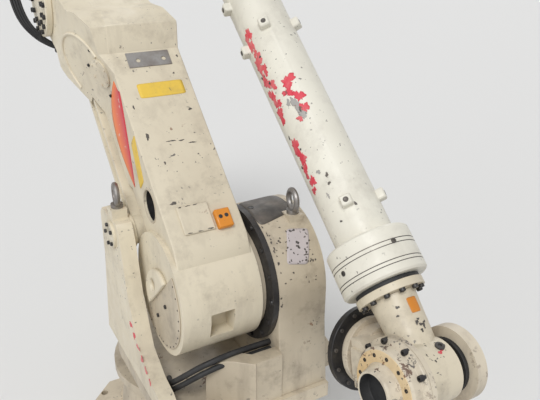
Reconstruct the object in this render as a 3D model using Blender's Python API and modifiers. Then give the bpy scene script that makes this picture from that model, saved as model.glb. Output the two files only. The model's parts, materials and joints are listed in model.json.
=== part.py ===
"""Industrial robot arm, six axes and a parallel link, in metres.

+Z is up, the arm faces -Y and its turning axis is the Z axis. The origin is at the
centre of the base's underside. The arm stands in its parked pose: the lower arm leans
back and the forearm reaches down and forward on its right side.
"""
import math
import bmesh
import bpy
from mathutils import Matrix, Vector

SEAT_GAP = 0.0003        # between pieces that seat on each other
RUN_GAP = 0.006          # between pieces that move past each other
OVERRUN = 0.02           # how far a cutter runs past what it cuts
MERGE = 0.0001
ROUND_STEPS = 40
SMALL_STEPS = 20
BOLT_STEPS = 10

# Base and turning bearing
FOOT_WIDTH = 0.64
FOOT_THICK = 0.032
FOOT_CORNER = 0.09
FOOT_HOLE_RADIUS = 0.013
FOOT_HOLE_INSET = 0.055
PEDESTAL_FOOT_RADIUS = 0.27
PEDESTAL_WAIST_RADIUS = 0.235
PEDESTAL_HEIGHT = 0.270
PEDESTAL_FLANGE_RADIUS = 0.268
PEDESTAL_FLANGE_THICK = 0.030
RIB_THICK = 0.018
RIB_REACH = 0.30
BEARING_RADIUS = 0.235
BEARING_HEIGHT = 0.040
BEARING_BORE_RADIUS = 0.115
SOCKET_BOX_WIDTH = 0.26
SOCKET_BOX_DEPTH = 0.085
SOCKET_BOX_HEIGHT = 0.115
SOCKET_RADIUS = 0.026
SOCKET_LENGTH = 0.018
SOCKET_COUNT = 3

# Turning table
TABLE_THICK = 0.050
TABLE_ROUND_RADIUS = 0.25
TABLE_WELL_RADIUS = 0.10
TABLE_FRONT_REACH = 0.485
TABLE_EDGE_RADIUS = 0.012
KERB_WIDTH = 0.012
KERB_HEIGHT = 0.012
FRONT_WALL_THICK = 0.045
FRONT_WALL_HEIGHT = 0.155
FRONT_WALL_REACH = 0.205
FRONT_WALL_ROUND = 0.085

# Shoulder axis, measured from the turning axis and the floor
SHOULDER_SIDE = 0.080
SHOULDER_FORWARD = 0.240
SHOULDER_HEIGHT = 0.740

# Right column with the shoulder reducer ring
RING_RADIUS = 0.210
RING_BORE_RADIUS = 0.120
RING_THICK = 0.018
RING_BOLT_CIRCLE = 0.196
RING_BOLT_COUNT = 16
COLUMN_WIDTH = 0.159
DRUM_RADIUS = 0.208
DRUM_END_ROUND = 0.022
COLUMN_FRONT_FLARE = 0.022
COLUMN_REAR_FLARE = 0.055
DRUM_COVER_RADIUS = 0.130
DRUM_COVER_THICK = 0.010
EYE_PAD_SIZE = 0.046
EYE_PAD_HEIGHT = 0.030
EYE_TURN = math.radians(82)
EYE_RING_RADIUS = 0.029
EYE_WIRE_RADIUS = 0.0085
EYE_COLLAR_RADIUS = 0.018
EYE_COLLAR_HEIGHT = 0.012

# Left cheek and the parallel link
CHEEK_OUTER_SIDE = 0.329
CHEEK_THICK = 0.048
CHEEK_BOSS_RADIUS = 0.052
CHEEK_HEAD_FRONT = 0.0746
CHEEK_HEAD_REAR = 0.1154
CHEEK_HEAD_UP = 0.053
CHEEK_WAIST_FRONT = 0.109
CHEEK_WAIST_DOWN = 0.165
CHEEK_KNEE_FORWARD = 0.027
CHEEK_KNEE_DOWN = 0.198
CHEEK_TOE_FORWARD = 0.125
CHEEK_TOE_DOWN = 0.262
CHEEK_FOOT_FRONT = 0.190
CHEEK_FOOT_REAR = 0.375
LINK_PIVOT_BACK = 0.2036
LINK_PIVOT_UP = 0.1169
PIVOT_CAP_RADIUS = 0.043
PIVOT_CAP_THICK = 0.008
PIVOT_SCREW_COUNT = 5
PIVOT_SCREW_CIRCLE = 0.032
PIVOT_SCREW_RADIUS = 0.0045
PIN_RADIUS = 0.016
PIN_CLEARANCE = 0.0008
LINK_EYE_RADIUS = 0.045
LINK_THICK = 0.075
LINK_DEPTH = 0.060
LINK_FLANGE = 0.014
LINK_POCKET_DEPTH = 0.026
LINK_SIDE = 0.265

# Lower arm
ARM_LEAN = math.radians(46.7)
ARM_LENGTH = 1.187
ARM_LEFT = 0.248
ARM_RIGHT = 0.0256
ARM_FRONT = 0.205
ARM_REAR = 0.009
ARM_EDGE = 0.018
HUB_RADIUS = 0.183
HUB_LEFT = 0.2617
HUB_FLANGE_RADIUS = 0.168
HUB_FLANGE_THICK = 0.040
HEAD_RADIUS = 0.140
HEAD_LEFT = 0.329
HEAD_RIGHT = 0.060
COVER_RADIUS = 0.164
COVER_THICK = 0.0035
ELBOW_FLANGE_RADIUS = 0.115
ELBOW_FLANGE_THICK = 0.023
ELBOW_FLANGE_SETBACK = 0.122
ELBOW_FLANGE_ALONG = ARM_LENGTH - ELBOW_FLANGE_SETBACK
ELBOW_FLANGE_BOLTS = 16
FLARE_START = 0.62
SIDE_HOLE_RADIUS = 0.046
SIDE_HOLE_FORWARD = 0.131
SIDE_HOLE_ALONG = 0.221
SIDE_HOLE_DEPTH = 0.070
FLARE_SLOPE = 0.3673
ACCESS_RADIUS = 0.046
ACCESS_THICK = 0.005
ACCESS_ALONG = 0.670
ACCESS_FORWARD = 0.140
PAD_SIDES = (-0.205, -0.1125)
PAD_RISES = (0.085, 0.170)
PAD_THICK = 0.007
STOP_SIDES = (-0.108, -0.062)
STOP_RISES = (0.080, 0.136)
STOP_THICK = 0.020
PLATE_SIDES = (-0.198, -0.064)
PLATE_RISES = (0.632, 0.684)
PLATE_THICK = 0.003
PLATE_HOLE_SIDES = (-0.165, -0.085)
PLATE_HOLE_RISE = 0.655
PLATE_HOLE_RADIUS = 0.007
NOTCH_LOW = (-0.180, -0.26, -0.075)
NOTCH_HIGH = (-0.108, -0.12, 0.006)
HOSE_RADIUS = 0.0035
HOSE_PITCH = 0.0074
HOSE_COUNT = 4
HOSE_CLAMP = 0.012

# Elbow bracket
BRACKET_HUB_RADIUS = 0.080
BRACKET_HUB_THICK = 0.036
BRACKET_PLATE_THICK = 0.022

# Forearm, measured from the elbow axis along and square to its own axis
FOREARM_DROP = math.radians(40.0)
FOREARM_SIDE = 0.2465
FOREARM_RISE = 0.252
COLLAR_START = 1.295
TUBE_RADIUS = 0.0851
COLLAR_RADIUS = 0.1213
COLLAR_LENGTH = 0.1325
COLLAR_EDGE = 0.006
COLLAR_GROOVE = 0.0015
COLLAR_GROOVE_SHARES = (0.33, 0.42, 0.72, 0.80)
HOUSING_HALF = 0.112
HOUSING_FRONT = 0.16
HOUSING_REAR = 0.24
TUBE_BOSSES = ((0.43, (187,)), (0.57, (122, 42)), (0.60, (190,)), (1.19, (125, 40)))
MOTOR_RADIUS = 0.046
MOTOR_LENGTH = 0.20
MOTOR_SPREAD = 0.058

# Wrist
WRIST_REACH = 0.377
NECK_FLANGE_RADIUS = 0.096
NECK_FLANGE_THICK = 0.022
NECK_SEAT_RADIUS = 0.108
NECK_SEAT_THICK = 0.012
NECK_RADIUS = 0.058
WRIST_ROLL = math.radians(5.2)
WRIST_BEND = math.radians(122.8)
CROSS_RADIUS = 0.084
CROSS_LEFT = 0.084
CROSS_SHOULDER = 0.040
CROSS_RIGHT = 0.066
CROSS_END_RADIUS = 0.048
FACE_RADIUS = 0.121
FACE_OUT = 0.115
CAP_RADIUS = 0.1065
CAP_OUT = 0.151
BORE_RADIUS = 0.0498
BORE_OUT = 0.185
BORE_DEPTH = 0.030
BORE_WALL = 0.006
SEAL_NEAR = 0.061
SEAL_RADIUS = 0.074
SEAL_THICK = 0.012
GUARD_RADIUS = 0.102
GUARD_OUT = 0.108
GUARD_EDGE = 0.014
YOKE_CHEEK_THICK = 0.015
BEND_SHAFT_RADIUS = 0.030
BEND_SHAFT_LENGTH = 0.036
YOKE_WEB_HALF = 0.036
YOKE_WEB_NEAR = 0.104
YOKE_WEB_WIDE_HALF = 0.070
YOKE_WEB_WIDE_AT = 0.150
YOKE_WEB_FAR = 0.185
ROLL_HOUSE_RADIUS = 0.0986
ROLL_HOUSE_OUT = 0.2268
TOOL_RADIUS = 0.124
TOOL_OUT = 0.262
TOOL_THICK = 0.020
TOOL_BOLT_CIRCLE = 0.104
TOOL_BOLT_COUNT = 12

PAINT = (0.78, 0.74, 0.66, 1.0)
WORN_PAINT = (0.72, 0.62, 0.44, 1.0)
BLACK = (0.02, 0.02, 0.022, 1.0)
STEEL = (0.36, 0.35, 0.34, 1.0)
ORANGE = (0.72, 0.30, 0.03, 1.0)
RUBBER = (0.015, 0.015, 0.016, 1.0)

TABLE_BOTTOM = (FOOT_THICK + PEDESTAL_HEIGHT + PEDESTAL_FLANGE_THICK
                + SEAT_GAP + BEARING_HEIGHT + SEAT_GAP)
TABLE_TOP = TABLE_BOTTOM + TABLE_THICK
SHOULDER = Vector((SHOULDER_SIDE, -SHOULDER_FORWARD, SHOULDER_HEIGHT))
ELBOW = SHOULDER + Vector((0, math.sin(ARM_LEAN), math.cos(ARM_LEAN))) * ARM_LENGTH
LINK_OFFSET = Vector((0, LINK_PIVOT_BACK, LINK_PIVOT_UP))
LINK_FOOT = SHOULDER + LINK_OFFSET
LINK_HEAD = ELBOW + LINK_OFFSET
FOREARM_AHEAD = Vector((0, -math.cos(FOREARM_DROP), -math.sin(FOREARM_DROP)))
FOREARM_UP = Vector((0, -math.sin(FOREARM_DROP), math.cos(FOREARM_DROP)))
FOREARM_AXIS = ELBOW + Vector((FOREARM_SIDE, 0, 0)) + FOREARM_UP * FOREARM_RISE
WRIST = FOREARM_AXIS + FOREARM_AHEAD * (COLLAR_START + WRIST_REACH)
BEND_AXIS = (Vector((1, 0, 0)) * math.cos(WRIST_ROLL)
             - FOREARM_UP * math.sin(WRIST_ROLL))
TOOL_AXIS = (FOREARM_AHEAD * math.cos(WRIST_BEND)
             + BEND_AXIS.cross(FOREARM_AHEAD) * math.sin(WRIST_BEND))


def clear_scene():
    for thing in list(bpy.data.objects):
        bpy.data.objects.remove(thing, do_unlink=True)


def collection(name):
    made = bpy.data.collections.new(name)
    bpy.context.scene.collection.children.link(made)
    return made


def material(name, colour, rough, metal=0.0):
    made = bpy.data.materials.new(name)
    made.use_nodes = True
    shader = made.node_tree.nodes["Principled BSDF"]
    shader.inputs["Base Color"].default_value = colour
    shader.inputs["Roughness"].default_value = rough
    shader.inputs["Metallic"].default_value = metal
    made.diffuse_color = colour
    return made


def axes(x_axis, z_axis, origin):
    """A placing matrix from a Z direction and a rough X direction."""
    z = Vector(z_axis).normalized()
    y = z.cross(Vector(x_axis)).normalized()
    x = y.cross(z)
    turn = Matrix((x, y, z)).transposed().to_4x4()
    turn.translation = Vector(origin)
    return turn


def from_bmesh(name, shape, place=None):
    mesh = bpy.data.meshes.new(name)
    bmesh.ops.recalc_face_normals(shape, faces=shape.faces)
    shape.to_mesh(mesh)
    shape.free()
    if place is not None:
        mesh.transform(place)
    return bpy.data.objects.new(name, mesh)


def block(name, low, high, place=None):
    """A box between two corners."""
    shape = bmesh.new()
    bmesh.ops.create_cube(shape, size=1.0)
    size = [b - a for a, b in zip(low, high)]
    middle = [(a + b) / 2 for a, b in zip(low, high)]
    bmesh.ops.scale(shape, vec=size, verts=shape.verts)
    bmesh.ops.translate(shape, vec=middle, verts=shape.verts)
    return from_bmesh(name, shape, place)


def rod(name, radius, start, end, steps=ROUND_STEPS, end_radius=None):
    """A round bar or cone between two points."""
    start, end = Vector(start), Vector(end)
    along = end - start
    helper = (1, 0, 0) if abs(along.normalized().x) < 0.9 else (0, 1, 0)
    shape = bmesh.new()
    bmesh.ops.create_cone(shape, cap_ends=True, segments=steps, radius1=radius,
                          radius2=radius if end_radius is None else end_radius,
                          depth=along.length)
    return from_bmesh(name, shape, axes(helper, along, (start + end) / 2))


def turned(name, profile, place, steps=ROUND_STEPS):
    """A turned solid: profile points are (radius, height), from the top down."""
    mesh = bpy.data.meshes.new(name)
    points = [(radius, 0.0, height) for radius, height in profile]
    mesh.from_pydata(points, [(i, i + 1) for i in range(len(points) - 1)], [])
    made = bpy.data.objects.new(name, mesh)
    screw = made.modifiers.new("turn", "SCREW")
    screw.steps = screw.render_steps = steps
    screw.use_merge_vertices = True
    screw.merge_threshold = MERGE
    made.matrix_world = place
    return made


def plate(name, outline, thick, place):
    """A flat outline in the XY plane, thickened evenly to both sides."""
    curve = bpy.data.curves.new(name, "CURVE")
    curve.dimensions = "2D"
    curve.fill_mode = "BOTH"
    curve.extrude = thick / 2
    line = curve.splines.new("POLY")
    line.points.add(len(outline) - 1)
    for point, (x, y) in zip(line.points, outline):
        point.co = (x, y, 0.0, 1.0)
    line.use_cyclic_u = True
    guide = bpy.data.objects.new(name + "_curve", curve)
    bpy.context.scene.collection.objects.link(guide)
    return solid_from(guide, name, place)


def solid_from(guide, name, place=None):
    """The closed mesh of a curve or of an object with modifiers; the guide goes."""
    bpy.context.view_layer.update()
    graph = bpy.context.evaluated_depsgraph_get()
    mesh = bpy.data.meshes.new_from_object(guide.evaluated_get(graph))
    shape = bmesh.new()
    shape.from_mesh(mesh)
    bmesh.ops.remove_doubles(shape, verts=shape.verts, dist=MERGE)
    bmesh.ops.recalc_face_normals(shape, faces=shape.faces)
    shape.to_mesh(mesh)
    shape.free()
    mesh.transform(guide.matrix_world)
    if place is not None:
        mesh.transform(place)
    bpy.data.objects.remove(guide, do_unlink=True)
    return bpy.data.objects.new(name, mesh)


def arc(centre, radius, start, end, steps):
    """Points of an arc, in degrees, both ends included."""
    turns = [math.radians(start + (end - start) * i / steps) for i in range(steps + 1)]
    return [(centre[0] + radius * math.cos(a), centre[1] + radius * math.sin(a))
            for a in turns]


def bevel(made, width, segments=2, angle=35.0):
    edge = made.modifiers.new("edge", "BEVEL")
    edge.width = width
    edge.segments = segments
    edge.limit_method = "ANGLE"
    edge.angle_limit = math.radians(angle)
    return made


def combine(made, others, operation):
    for other in others:
        CUTTERS.objects.link(other)
        other.hide_render = True
        other.display_type = "WIRE"
        step = made.modifiers.new(operation.lower(), "BOOLEAN")
        step.operation = operation
        step.object = other
        step.solver = "EXACT"
    return made


def join(made, others):
    return combine(made, others, "UNION")


def cut(made, others):
    return combine(made, others, "DIFFERENCE")


def add(made, finish, parent):
    PARTS.objects.link(made)
    made.data.materials.clear()
    made.data.materials.append(finish)
    made.parent = parent
    made.matrix_parent_inverse = parent.matrix_world.inverted()
    return made


def pivot(name, place):
    made = bpy.data.objects.new(name, None)
    PARTS.objects.link(made)
    made.matrix_world = place
    bpy.context.view_layer.update()
    return made


def ring_of(centre_place, circle, count, start=0.0):
    """Places round a circle in the XY plane of a placing matrix."""
    places = []
    for i in range(count):
        turn = math.radians(start + 360.0 * i / count)
        places.append(centre_place @ Vector((circle * math.cos(turn),
                                             circle * math.sin(turn), 0.0)))
    return places


def eye_bolt(name, foot):
    """A lifting eye: a torus standing on a round collar."""
    shape = bmesh.new()
    bpy.ops.mesh.primitive_torus_add(
        major_segments=24, minor_segments=10, major_radius=EYE_RING_RADIUS,
        minor_radius=EYE_WIRE_RADIUS)
    torus = bpy.context.object
    shape.from_mesh(torus.data)
    bpy.data.objects.remove(torus, do_unlink=True)
    rise = EYE_COLLAR_HEIGHT + EYE_RING_RADIUS
    place = Matrix.Translation(foot + Vector((0, 0, rise))) @ Matrix.Rotation(
        math.radians(90), 4, "X") @ Matrix.Rotation(EYE_TURN, 4, "Y")
    eye = from_bmesh(name, shape, place)
    collar = rod(name + "_collar", EYE_COLLAR_RADIUS, foot,
                 foot + Vector((0, 0, EYE_COLLAR_HEIGHT)), SMALL_STEPS)
    return join(eye, [collar])


def side_place(origin, across, up):
    """Places an outline drawn as (across, up); its thickness runs square to both."""
    across, up = Vector(across), Vector(up)
    turn = Matrix((across, up, across.cross(up))).transposed().to_4x4()
    turn.translation = Vector(origin)
    return turn


def build_base(root):
    half, corner = FOOT_WIDTH / 2, FOOT_CORNER
    outline = []
    for sx, sy in ((1, 1), (-1, 1), (-1, -1), (1, -1)):
        ends = [(sx * half, sy * (half - corner)), (sx * (half - corner), sy * half)]
        outline += ends if sx * sy > 0 else ends[::-1]
    foot = plate("base_casting", outline, FOOT_THICK,
                 Matrix.Translation((0, 0, FOOT_THICK / 2)))
    neck_top = FOOT_THICK + PEDESTAL_HEIGHT
    top = neck_top + PEDESTAL_FLANGE_THICK
    flange_under = neck_top - PEDESTAL_FLANGE_THICK / 2
    sunk = FOOT_THICK / 2
    pedestal = turned("pedestal", [
        (0, top), (PEDESTAL_FLANGE_RADIUS, top), (PEDESTAL_FLANGE_RADIUS, neck_top),
        (PEDESTAL_WAIST_RADIUS, flange_under), (PEDESTAL_FOOT_RADIUS, FOOT_THICK),
        (PEDESTAL_FOOT_RADIUS, sunk), (0, sunk)], Matrix.Identity(4))
    ribs = []
    for quarter in range(4):
        turn = math.radians(45 + 90 * quarter)
        out = Vector((math.cos(turn), math.sin(turn), 0))
        inner = PEDESTAL_WAIST_RADIUS - OVERRUN
        ribs.append(plate("rib", [(inner, sunk), (RIB_REACH, sunk),
                                  (RIB_REACH, FOOT_THICK + RIB_THICK),
                                  (inner, flange_under)],
                          RIB_THICK, side_place((0, 0, 0), out, (0, 0, 1))))
    join(foot, [pedestal] + ribs)
    place = half - FOOT_HOLE_INSET
    holes = [rod("foot_hole", FOOT_HOLE_RADIUS, (sx * place, sy * place, -OVERRUN),
                 (sx * place, sy * place, FOOT_THICK + OVERRUN), SMALL_STEPS)
             for sx in (-1, 1) for sy in (-1, 1)]
    cut(foot, holes)
    add(foot, PAINTED, root)

    ring_low = top + SEAT_GAP
    ring_top = ring_low + BEARING_HEIGHT
    ring = turned("bearing_ring", [
        (BEARING_BORE_RADIUS, ring_top), (BEARING_RADIUS, ring_top),
        (BEARING_RADIUS, ring_low), (BEARING_BORE_RADIUS, ring_low),
        (BEARING_BORE_RADIUS, ring_top)], Matrix.Identity(4))
    add(ring, STEELY, root)

    back = PEDESTAL_FLANGE_RADIUS + RUN_GAP
    low = (-SOCKET_BOX_WIDTH / 2, back, FOOT_THICK + SEAT_GAP)
    high = (SOCKET_BOX_WIDTH / 2, back + SOCKET_BOX_DEPTH,
            FOOT_THICK + SEAT_GAP + SOCKET_BOX_HEIGHT)
    box = bevel(block("socket_box", low, high), RIB_THICK / 4)
    pitch = SOCKET_BOX_WIDTH / SOCKET_COUNT
    sockets = []
    for i in range(SOCKET_COUNT):
        x = pitch * (i - (SOCKET_COUNT - 1) / 2)
        z = (low[2] + high[2]) / 2
        sockets.append(rod("socket", SOCKET_RADIUS, (x, high[1] - SOCKET_LENGTH, z),
                           (x, high[1] + SOCKET_LENGTH, z), SMALL_STEPS))
    add(join(box, sockets), PAINTED, root)


def build_table(turning):
    left = SHOULDER.x - CHEEK_OUTER_SIDE
    column_left = SHOULDER.x + RING_THICK + SEAT_GAP
    right = column_left + COLUMN_WIDTH
    table = rod("turning_table", TABLE_ROUND_RADIUS, (0, 0, TABLE_BOTTOM),
                (0, 0, TABLE_TOP))
    front = block("table_front", (left, -TABLE_FRONT_REACH, TABLE_BOTTOM),
                  (right, 0, TABLE_TOP))
    edge = TABLE_TOP + KERB_HEIGHT
    kerb = block("kerb", (left + CHEEK_THICK + SEAT_GAP, -TABLE_FRONT_REACH,
                          TABLE_TOP - KERB_HEIGHT),
                 (column_left - FRONT_WALL_REACH,
                  -TABLE_FRONT_REACH + KERB_WIDTH, edge))
    crease = SHOULDER.x - FRONT_WALL_REACH / 3
    middle = -TABLE_FRONT_REACH + FRONT_WALL_THICK / 2 + KERB_WIDTH
    low = TABLE_TOP - KERB_HEIGHT
    top = TABLE_TOP + FRONT_WALL_HEIGHT
    straight = plate("front_wall", [(crease, low), (column_left - SEAT_GAP, low),
                                    (column_left - SEAT_GAP, top), (crease, top)],
                     FRONT_WALL_THICK,
                     side_place((0, middle, 0), (1, 0, 0), (0, 0, 1)))
    slant = Vector((-1, 0.85, 0)).normalized()
    length = FRONT_WALL_REACH * 2 / 3
    rounded = arc((length - FRONT_WALL_ROUND, top - FRONT_WALL_ROUND),
                  FRONT_WALL_ROUND, 0, 90, 7)
    wing = plate("front_wing", [(-FRONT_WALL_THICK / 3, low), (length, low)] + rounded
                 + [(-FRONT_WALL_THICK / 3, top)], FRONT_WALL_THICK,
                 side_place((crease, middle, 0), slant, (0, 0, 1)))
    join(table, [front, kerb, straight, wing])
    well = rod("table_well", TABLE_WELL_RADIUS, (0, 0, TABLE_BOTTOM - OVERRUN),
               (0, 0, TABLE_TOP + OVERRUN))
    cut(table, [well])
    add(table, PAINTED, turning)

    base = TABLE_TOP + SEAT_GAP
    motor_y = TABLE_WELL_RADIUS + MOTOR_RADIUS * 1.4
    motor_x = MOTOR_RADIUS * 1.4
    foot = Vector((motor_x, motor_y, base))
    size = MOTOR_RADIUS + RIB_THICK
    body = bevel(block("turn_motor", (motor_x - size, motor_y - size, base + RIB_THICK),
                       (motor_x + size, motor_y + size, base + MOTOR_LENGTH)),
                 RIB_THICK / 2)
    lift = Vector((0, 0, 1))
    flange = rod("motor_flange", size * 1.2, foot, foot + lift * (RIB_THICK * 1.5),
                 SMALL_STEPS)
    cap = rod("motor_cap", MOTOR_RADIUS, foot + lift * (MOTOR_LENGTH - RIB_THICK),
              foot + lift * (MOTOR_LENGTH + MOTOR_RADIUS), SMALL_STEPS)
    add(join(body, [flange, cap]), BLACKENED, turning)


def build_column(turning):
    left = RING_THICK + SEAT_GAP
    right = left + COLUMN_WIDTH
    drop = SHOULDER_HEIGHT - TABLE_TOP - SEAT_GAP
    outline = arc((0, 0), DRUM_RADIUS, 0, 180, 24)
    outline += [(-DRUM_RADIUS, -drop / 3), (-DRUM_RADIUS - COLUMN_FRONT_FLARE, -drop)]
    outline += [(DRUM_RADIUS + COLUMN_REAR_FLARE, -drop), (DRUM_RADIUS, -drop / 3)]
    middle = SHOULDER + Vector(((left + right) / 2, 0, 0))
    yz = side_place(middle, (0, 1, 0), (0, 0, 1))
    column = bevel(plate("right_column", outline, COLUMN_WIDTH, yz), DRUM_END_ROUND, 3)
    pad_x = right - EYE_PAD_SIZE * 0.93
    pad_y = -EYE_PAD_SIZE * 1.7
    pad_top = DRUM_RADIUS - EYE_PAD_HEIGHT / 6
    pad = block("eye_pad", (pad_x - EYE_PAD_SIZE / 2, pad_y - EYE_PAD_SIZE / 2,
                            DRUM_RADIUS - EYE_PAD_HEIGHT * 1.6),
                (pad_x + EYE_PAD_SIZE / 2, pad_y + EYE_PAD_SIZE / 2, pad_top),
                Matrix.Translation(SHOULDER))
    flare_depth = DRUM_RADIUS * 1.7
    flare = plate("column_flare", [(right - OVERRUN, -drop), (right + 0.11, -drop),
                                   (right + 0.045, -drop * 0.72),
                                   (right, -drop * 0.48),
                                   (right - OVERRUN, -drop * 0.44)],
                  flare_depth, side_place(SHOULDER, (1, 0, 0), (0, 0, 1)))
    join(column, [pad, flare])
    add(column, PAINTED, turning)
    add(eye_bolt("right_eye_bolt", SHOULDER + Vector((pad_x, pad_y,
                                                       pad_top + SEAT_GAP))),
        STEELY, turning)

    ring_place = side_place(SHOULDER, (0, 1, 0), (0, 0, 1))
    ring = turned("reducer_ring", [
        (RING_BORE_RADIUS, RING_THICK), (RING_RADIUS, RING_THICK), (RING_RADIUS, 0),
        (RING_BORE_RADIUS, 0), (RING_BORE_RADIUS, RING_THICK)], ring_place, 56)
    bolts = [rod("ring_bolt", RING_THICK / 2.6, spot,
                 spot - Vector((RING_THICK / 3, 0, 0)), BOLT_STEPS)
             for spot in ring_of(ring_place, RING_BOLT_CIRCLE, RING_BOLT_COUNT)]
    for bolt in bolts:
        bolt.data.transform(Matrix.Translation((SEAT_GAP, 0, 0)))
    add(join(ring, bolts), BLACKENED, turning)

    cover_face = SHOULDER + Vector((right + SEAT_GAP, 0, 0))
    cover = rod("drum_cover", DRUM_COVER_RADIUS, cover_face,
                cover_face + Vector((DRUM_COVER_THICK, 0, 0)))
    add(bevel(cover, DRUM_COVER_THICK / 4, 1), PAINTED, turning)


def build_cheek(turning):
    floor = SHOULDER_HEIGHT - TABLE_TOP - SEAT_GAP
    back, up = LINK_PIVOT_BACK, LINK_PIVOT_UP
    top = up + CHEEK_HEAD_UP
    front, rear = back - CHEEK_HEAD_FRONT, back + CHEEK_HEAD_REAR
    outline = [(front, up), (front + CHEEK_THICK / 4, top - CHEEK_THICK / 3),
               (front + CHEEK_THICK / 2, top), (rear - CHEEK_THICK / 2, top),
               (rear, top - CHEEK_THICK / 2), (rear, 0), (CHEEK_FOOT_REAR, -floor),
               (-CHEEK_FOOT_FRONT, -floor), (-CHEEK_FOOT_FRONT, -floor + KERB_HEIGHT),
               (-CHEEK_TOE_FORWARD, -CHEEK_TOE_DOWN),
               (-CHEEK_TOE_FORWARD / 2, -CHEEK_TOE_DOWN + KERB_HEIGHT),
               (CHEEK_KNEE_FORWARD, -CHEEK_KNEE_DOWN),
               (back - CHEEK_WAIST_FRONT, up - CHEEK_WAIST_DOWN)]
    middle = SHOULDER - Vector((CHEEK_OUTER_SIDE - CHEEK_THICK / 2, 0, 0))
    cheek = plate("left_cheek", outline, CHEEK_THICK,
                  side_place(middle, (0, 1, 0), (0, 0, 1)))
    inner = -CHEEK_OUTER_SIDE + CHEEK_THICK
    boss_face = -LINK_SIDE - RUN_GAP / 3
    boss = rod("cheek_boss", CHEEK_BOSS_RADIUS,
               LINK_FOOT + Vector((inner - CHEEK_THICK / 2, 0, 0)),
               LINK_FOOT + Vector((boss_face, 0, 0)))
    crown_y = back + EYE_PAD_SIZE * 0.12
    pad_top = top + EYE_PAD_HEIGHT
    pad = block("cheek_pad", (-CHEEK_OUTER_SIDE + SEAT_GAP, crown_y - EYE_PAD_SIZE / 2,
                              top - EYE_PAD_HEIGHT / 3),
                (inner - SEAT_GAP, crown_y + EYE_PAD_SIZE / 2, pad_top),
                Matrix.Translation(SHOULDER))
    join(cheek, [boss, pad])
    bore = rod("pin_bore", PIN_RADIUS + PIN_CLEARANCE,
               LINK_FOOT + Vector((-CHEEK_OUTER_SIDE - OVERRUN, 0, 0)),
               LINK_FOOT + Vector((boss_face + OVERRUN, 0, 0)))
    cut(cheek, [bore])
    add(cheek, PAINTED, turning)
    crown = SHOULDER + Vector((-CHEEK_OUTER_SIDE + CHEEK_THICK / 2, crown_y,
                               pad_top + SEAT_GAP))
    add(eye_bolt("left_eye_bolt", crown), STEELY, turning)
    outer = -CHEEK_OUTER_SIDE - SEAT_GAP
    cap_face = outer - PIVOT_CAP_THICK
    cap = rod("pivot_cap", PIVOT_CAP_RADIUS, LINK_FOOT + Vector((outer, 0, 0)),
              LINK_FOOT + Vector((cap_face, 0, 0)), SMALL_STEPS * 2)
    pin = rod("link_pin", PIN_RADIUS, LINK_FOOT + Vector((outer - SEAT_GAP, 0, 0)),
              LINK_FOOT + Vector((-LINK_SIDE + LINK_THICK, 0, 0)))
    out = Vector((-1, 0, 0))
    face = axes((0, 1, 0), out, LINK_FOOT + Vector((cap_face, 0, 0)))
    screws = [rod("cap_screw", PIVOT_SCREW_RADIUS, spot - out * PIVOT_SCREW_RADIUS,
                  spot + out * PIVOT_SCREW_RADIUS, BOLT_STEPS)
              for spot in ring_of(face, PIVOT_SCREW_CIRCLE, PIVOT_SCREW_COUNT)]
    add(join(cap, [pin] + screws), PAINTED, turning)


def build_link(link):
    """The I-section link, eye to eye, drawn along its own length."""
    along = Vector((0, math.sin(ARM_LEAN), math.cos(ARM_LEAN)))
    forward = Vector((0, -math.cos(ARM_LEAN), math.sin(ARM_LEAN)))
    middle = LINK_FOOT + Vector((-LINK_SIDE + LINK_THICK / 2, 0, 0))
    place = side_place(middle, forward, along)
    half = LINK_DEPTH / 2
    body = plate("tie_link", [(-half, 0), (half, 0), (half, ARM_LENGTH),
                              (-half, ARM_LENGTH)], LINK_THICK, place)
    eyes = [rod("link_eye", LINK_EYE_RADIUS, end + Vector((-LINK_SIDE, 0, 0)),
                end + Vector((-LINK_SIDE + LINK_THICK, 0, 0)))
            for end in (LINK_FOOT, LINK_HEAD)]
    join(body, eyes)
    inset = half - LINK_FLANGE
    first, last = LINK_EYE_RADIUS * 1.7, ARM_LENGTH - LINK_EYE_RADIUS * 1.7
    pocket = [(-inset, first), (inset, first), (inset, last), (-inset, last)]
    for sign in (-1, 1):
        shift = sign * (LINK_THICK / 2 - LINK_POCKET_DEPTH / 2 + OVERRUN / 2)
        depth = LINK_POCKET_DEPTH + OVERRUN
        spot = side_place(middle + Vector((shift, 0, 0)), forward, along)
        cut(body, [plate("link_pocket", pocket, depth, spot)])
    for end in (LINK_FOOT, LINK_HEAD):
        cut(body, [rod("link_bore", PIN_RADIUS + PIN_CLEARANCE,
                       end + Vector((-LINK_SIDE - OVERRUN, 0, 0)),
                       end + Vector((-LINK_SIDE + LINK_THICK + OVERRUN, 0, 0)))])
    add(body, PAINTED, link)


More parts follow.
